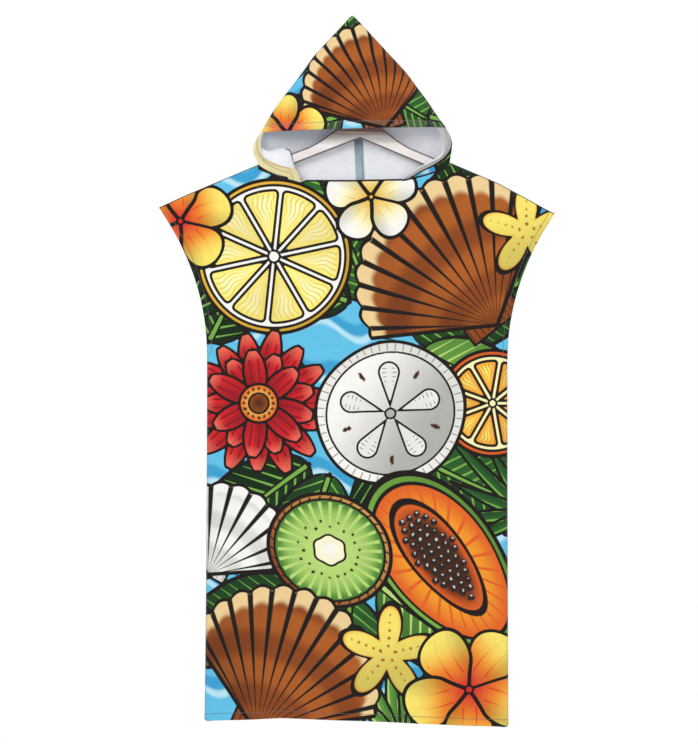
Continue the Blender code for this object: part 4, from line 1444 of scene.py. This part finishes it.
def polished_steel():
    """Steel wire with fine drawn marks along it."""
    steel = Finish("polished_steel", {"Metallic": 1.0})
    drawn = steel.stretch(steel.place(), scale=(900.0, 900.0, 120.0))
    marks = steel.noise(drawn, scale=1.0, detail=2.0)
    steel.put(steel.shader, {"Roughness": steel.ramp(marks, low=0.18, high=0.34)})
    return steel.done((*STEEL, 1.0))


# Assembly.


def panel(name, side, folds, creases, motifs):
    """One panel's shell, its stitches, and its coarse points at the top edge."""
    columns = fine_columns()
    drops = fine_drops()
    points = panel_points(side, folds, creases, columns, drops)
    numbers = np.arange(points[..., 0].size).reshape(points.shape[:2])
    if side < 0:
        numbers = numbers[:, ::-1]
    sheet = points.reshape(-1, 3)
    normals = face_normals(sheet, quads_of(numbers)).reshape(points.shape)
    normals = turn_seam_normals(points, normals)
    from_hem = np.broadcast_to((HEM_DROP - drops)[:, None], points.shape[:2])
    run = along_rows(points)
    from_side = np.minimum(run, run[:, -1:] - run)
    armhole = smooth((ARMHOLE_HEIGHT - drops) / ARMHOLE_HEM)[:, None]
    side_hem = hem_profile(from_side, ARMHOLE_HEM) * armhole
    dip = stitch_dip(from_hem, STITCH_INSET) + stitch_dip(from_side, ARMHOLE_STITCH) * armhole
    outside, inside = wall(np.maximum(hem_profile(from_hem, HEM_DEPTH), side_hem), dip)
    art = painted(sheet[:, [0, 2]] * (-side, 1.0), motifs)
    # A thin dark line along the top edge: partly print outline, partly painted shadow of the neck
    # and shoulder seams.
    at_neck = (columns[:, 0] > NECK_LEFT[0]) & (columns[:, 0] < NECK_RIGHT[0])
    top_ink_and_shadow = np.where(at_neck, NECK_INK_AND_SHADOW, SHOULDER_INK_AND_SHADOW) - drops[:, None]
    art.ink = np.maximum(art.ink, top_ink_and_shadow.ravel())
    faces = art.split(quads_of(numbers))
    inner = coarse_faces(numbers)
    shell, source = cloth_shell(name, points, faces, normals, outside, inside, CLOTHS, inner)
    side_stitches = from_side - ARMHOLE_STITCH + FAR_FROM_SEAM * (1.0 - armhole)
    to_stitches = np.minimum(from_hem - STITCH_INSET, side_stitches)
    wear_print(shell, source, art, to_stitches, from_side + FAR_FROM_SEAM * armhole)

    outer = points + normals * outside[..., None]
    hem_row = int(np.argmin(np.abs(from_hem[:, 0] - STITCH_INSET)))
    lines = [(outer[hem_row], normals[hem_row])]
    arm = (drops > STITCH_PITCH) & (drops < ARMHOLE_HEIGHT)
    lines.append(at_distance(run[arm], ARMHOLE_STITCH, outer[arm], normals[arm]))
    mirrored = (run[arm, -1:] - run[arm])[:, ::-1]
    lines.append(at_distance(mirrored, ARMHOLE_STITCH, outer[arm, ::-1], normals[arm, ::-1]))
    coarse = panel_points(side, folds, creases, coarse_columns(), [0.0])[0]
    return shell, stitches(name + "_stitches", lines), coarse


def hood(loop):
    """The hood's shell, its stitches, its rows from the brim down, and its rings above."""
    points, faces, inner, flat, patch, rings, numbers = hood_sheet(loop)
    normals = face_normals(points, faces)
    lap = -inward(finer(loop))
    normals[-2 * len(lap) :] = np.vstack([lap, lap])
    brim = rings[-1][BRIM_FIRST : BRIM_LAST + 1]
    distance = nearest(points, np.vstack([brim, patch[1:, 0], patch[1:, -1]]))
    outside, inside = wall(hem_profile(distance, HEM_DEPTH), stitch_dip(distance, STITCH_INSET))
    art = painted(flat, HOOD_PRINT)
    last = numbers[0].max()
    upper = np.arange(len(points)) <= last
    art.tint(BRIM_PALE * (upper & (nearest(points, brim) < HEM_DEPTH)), WHITE)
    behind = points[:, 1] > 0.0
    for side, widths, colour in ((0, RIM_LEFT, RIM_CREAM), (-1, RIM_RIGHT, RIM_GREY)):
        down = (patch[0, side, 2] - points[:, 2]) / (patch[0, side, 2] - patch[-1, side, 2])
        width = widths[0] + (widths[1] - widths[0]) * np.clip(down, 0.0, 1.0)
        rim = np.where(upper | behind, 1.0, nearest(points, patch[:, side]) - width)
        art.fill(rim, colour, FINE_LINE)
    shell, source = cloth_shell(
        "towel_hood", points, art.split(faces), normals, outside, inside, HOOD_CLOTHS, inner
    )
    off_seam = points[:, 0] - seam_x(points[:, 2])
    to_seam = np.where(behind, off_seam, np.copysign(FAR_FROM_SEAM, off_seam))
    wear_print(shell, source, art, distance - STITCH_INSET, to_seam)

    outer = points + normals * outside[:, None]
    upward = np.arange(1, last + 1).reshape(rings.shape[:2])[::-1, BRIM_FIRST : BRIM_LAST + 1].T
    lines = [
        at_distance(along_rows(outer[grid]), STITCH_INSET, outer[grid], normals[grid])
        for grid in (upward, numbers[:-1], numbers[:-1, ::-1])
    ]
    return shell, stitches("towel_hood_stitches", lines), patch, rings


def nearest(points, targets):
    """Each point's distance to the nearest of the targets."""
    shortest = np.full(len(points), np.inf)
    for target in targets:
        np.minimum(shortest, np.sum((points - target) ** 2, axis=1), out=shortest)
    return np.sqrt(shortest)


def seam_x(z):
    """x of the centre-back seam at a height: it leans a little from the crown to the neck."""
    return HOOD_PEAK[0] + (HOOD_PEAK[2] - z) * SEAM_LEAN


def stitch_row(line, normals):
    """Rings of points round short stitches along a line, each bowed over the cloth."""
    run = along_rows(line[None])[0]
    last = run[-1] - STITCH_PITCH - STITCH_LENGTH
    share = np.linspace(0.0, 1.0, THREAD_RINGS)
    wanted = np.arange(STITCH_PITCH, last, STITCH_PITCH)[:, None] + STITCH_LENGTH * share
    centre = on_line(wanted, run, line)
    up = unit(on_line(wanted, run, normals))
    across = unit(np.cross(up, centre[:, -1:] - centre[:, :1]))
    bow = np.sin(np.pi * share)[:, None]
    centre = centre + up * STITCH_RISE * (bow - 0.5)
    turn = np.linspace(0.0, 2.0 * math.pi, THREAD_SIDES + 1)[:-1, None]
    spoke = np.cos(turn) * across[:, :, None] + np.sin(turn) * up[:, :, None]
    return centre[:, :, None] + spoke * THREAD_RADIUS * (0.5 + 0.5 * bow[:, None])


def stitches(name, lines):
    """Short stitches of thread along lines, each a line of points with its normals."""
    rings = np.vstack([stitch_row(*line) for line in lines])
    numbers = np.arange(rings[..., 0].size).reshape(rings.shape[:3])
    near = numbers[:, :-1]
    far = numbers[:, 1:]
    walls = (near, np.roll(near, -1, axis=2), np.roll(far, -1, axis=2), far)
    faces = np.stack(walls, axis=3).reshape(-1, 4).tolist()
    faces += numbers[:, 0, ::-1].tolist() + numbers[:, -1].tolist()
    return new_mesh(name, rings.reshape(-1, 3), faces, [THREAD])


def thin_cloth(name, points, numbers, thickness, materials, edge_faces):
    """A small shell of even thickness on a grid of points, some of its faces in EDGE_SLOT."""
    faces = quads_of(numbers)
    normals = face_normals(points, faces)
    half = np.full(len(points), thickness / 2)
    shell, _ = cloth_shell(name, points, faces, normals, half, half, materials)
    for number in edge_faces:
        shell.data.polygons[number].material_index = EDGE_SLOT
    return shell


def inner_lap(materials):
    """The lap of cloth inside the opening's left side, over the end of the hanger's arm."""
    rim = smooth_path(LAP_RIM, LAP_COLUMNS)
    edge = smooth_path(LAP_EDGE, LAP_COLUMNS)
    down = np.linspace(0.0, 1.0, LAP_ROWS + 1)[:, None, None]
    across = np.linspace(0.0, 1.0, LAP_COLUMNS + 1)[:, None]
    puff = LAP_PUFF * np.sin(np.pi * down) * np.sin(np.pi * across) ** 0.5
    points = (edge + (rim - edge) * down - puff * (0.0, 1.0, 0.0)).reshape(-1, 3)
    numbers = np.arange(len(points)).reshape(LAP_ROWS + 1, -1)
    # Faces of the free edge's row over the arm's end take the painted shadow.
    shadowed_faces = [*range(LAP_SHADOW_START, LAP_COLUMNS)]
    shadowed_faces += [LAP_ROWS * LAP_COLUMNS + column for column in shadowed_faces]
    return thin_cloth("hood_inner_lap", points, numbers, CLOTH, materials, shadowed_faces)


def allowance(patch, rings, materials):
    """The seam allowance down the inside of the hood's back, from under the crown's point."""
    low_rings = rings[rings[:, 0, 2] < ALLOWANCE_TOP]
    rows = [ring[FRONT_COLUMNS:] for ring in low_rings[::ALLOWANCE_STRIDE]]
    rows += list(patch[ALLOWANCE_STRIDE:-1:ALLOWANCE_STRIDE])
    band = []
    for row in rows:
        row = row[np.argsort(row[:, 0])]
        middle = seam_x(np.interp(seam_x(row[0, 2]), row[:, 0], row[:, 2]))
        for share in np.linspace(-0.5, 0.5, ALLOWANCE_COLUMNS):
            x = middle + share * ALLOWANCE_WIDTH
            puff = ALLOWANCE_PUFF * (1.0 - (2.0 * share) ** 4)
            y = np.interp(x, row[:, 0], row[:, 1]) - ALLOWANCE_INSET - puff
            band.append((x, y, np.interp(x, row[:, 0], row[:, 2])))
    points = np.array(band)
    numbers = np.arange(len(points)).reshape(-1, ALLOWANCE_COLUMNS)[:, ::-1]
    across = ALLOWANCE_COLUMNS - 1
    # One column of faces near the band's right edge takes the painted shade.
    turned = range(BAND_EDGE_SHADE_COLUMN, (len(rows) - 1) * across, across)
    return thin_cloth("hood_seam_band", points, numbers, ALLOWANCE_THICKNESS, materials, turned)


def add_light(name, place, size, power, colour):
    data = bpy.data.lights.new(name, "AREA")
    data.size = size
    data.energy = power
    data.color = colour
    lamp = new_object(name, data)
    lamp.location = place
    x, y, z = AIM - np.array(place)
    lamp.rotation_euler = (math.atan2(math.hypot(x, y), -z), 0.0, math.atan2(-x, y))


def set_stage():
    """A pale floor, white all round, and soft lights."""
    world = bpy.data.worlds.new("studio")
    world.use_nodes = True
    nodes = world.node_tree.nodes
    links = world.node_tree.links
    seen = nodes.new("ShaderNodeBackground")
    seen.inputs["Color"].default_value = (*BACKDROP, 1.0)
    lit = nodes["Background"]
    lit.inputs["Color"].default_value = (*FILL_COLOUR, 1.0)
    lit.inputs["Strength"].default_value = FILL_STRENGTH
    path = nodes.new("ShaderNodeLightPath")
    choose = nodes.new("ShaderNodeMixShader")
    links.new(path.outputs["Is Camera Ray"], choose.inputs["Fac"])
    links.new(lit.outputs[0], choose.inputs[1])
    links.new(seen.outputs[0], choose.inputs[2])
    links.new(choose.outputs[0], nodes["World Output"].inputs["Surface"])
    bpy.context.scene.world = world

    turn = np.linspace(0.0, 2.0 * math.pi, FLOOR_SIDES + 1)[:-1]
    ring = (FLOOR_RADIUS * np.cos(turn), FLOOR_RADIUS * np.sin(turn), np.full(FLOOR_SIDES, FLOOR_Z))
    paint = Finish("studio_floor", {"Roughness": 0.9}).done((*FLOOR_COLOUR, 1.0))
    floor = np.stack(ring, axis=1)
    new_mesh("studio_floor", floor, [tuple(range(FLOOR_SIDES))], [paint])
    for light in LIGHTS:
        add_light(*light)


def set_camera():
    """A long lens straight at the front, as high as the middle of the garment."""
    data = bpy.data.cameras.new("camera")
    data.lens = CAMERA_SENSOR * CAMERA_DISTANCE / VIEW_HEIGHT
    data.sensor_width = CAMERA_SENSOR
    data.clip_end = CAMERA_REACH
    camera = new_object("camera", data)
    camera.location = (VIEW_X, -CAMERA_DISTANCE, VIEW_Z)
    camera.rotation_euler = (math.pi / 2, 0.0, 0.0)
    bpy.context.scene.camera = camera
    bpy.context.scene.view_settings.view_transform = "Standard"


printed = printed_cloth()
inner_cloth = plain_cloth("towel_inside", INSIDE_PALE, INSIDE_SHADE)
# The hood's inside, with painted shade under the brim.
shaded_hood_inside = plain_cloth(
    "towel_inside_hood_painted_shade", INSIDE_PALE, INSIDE_SHADE, HOOD_PAINTED_SHADE, HOOD_PAINTED_SHADE_PLACE
)
# The seam band, with painted shade towards its top.
band_cloth = plain_cloth("towel_seam_band", BAND_PALE, BAND_SHADE, BAND_PAINTED_SHADE, BAND_PAINTED_SHADE_PLACE)
# A strip of painted shade near the seam band's right edge.
band_edge_shade = plain_cloth("towel_seam_band_edge_shade", BAND_SHADE, BAND_EDGE_SHADE)
# Painted shadow along the inner lap's free edge.
lap_edge_shadow = plain_cloth("towel_lap_edge_shadow", LAP_SHADOW_PALE, LAP_SHADOW_DARK)
# Each shell's outer and inner material.
CLOTHS = (printed, inner_cloth)
HOOD_CLOTHS = (printed, shaded_hood_inside)
THREAD = sewing_thread()

front, front_thread, front_top = panel(
    "towel_front", -1, FRONT_FOLDS, FRONT_CREASES, FRONT_PRINT
)
back, back_thread, back_top = panel("towel_back", 1, BACK_FOLDS, BACK_CREASES, BACK_PRINT)
head, hood_thread, hood_patch, hood_upper = hood(neck_loop(front_top, back_top))
lap = inner_lap((inner_cloth, inner_cloth, lap_edge_shadow))
band = allowance(hood_patch, hood_upper, (band_cloth, band_cloth, band_edge_shade))
PIECES = (
    (front, "body_front", "printed_towel"),
    (back, "body_back", "printed_towel"),
    (head, "hood", "printed_towel"),
    (band, "hood_seam_allowance", "towel_inside"),
    (front_thread, "body_front", "printed_towel"),
    (back_thread, "body_back", "printed_towel"),
    (hood_thread, "hood", "printed_towel"),
    (lap, "hood", "towel_inside"),
)
for piece, node, slot in PIECES:
    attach(piece, "root")
    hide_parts(node)
for node, material in (("hanger_wood", pale_wood()), ("hanger_hook", polished_steel())):
    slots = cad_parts[node].data.materials
    slots.clear()
    slots.append(material)
set_stage()
set_camera()
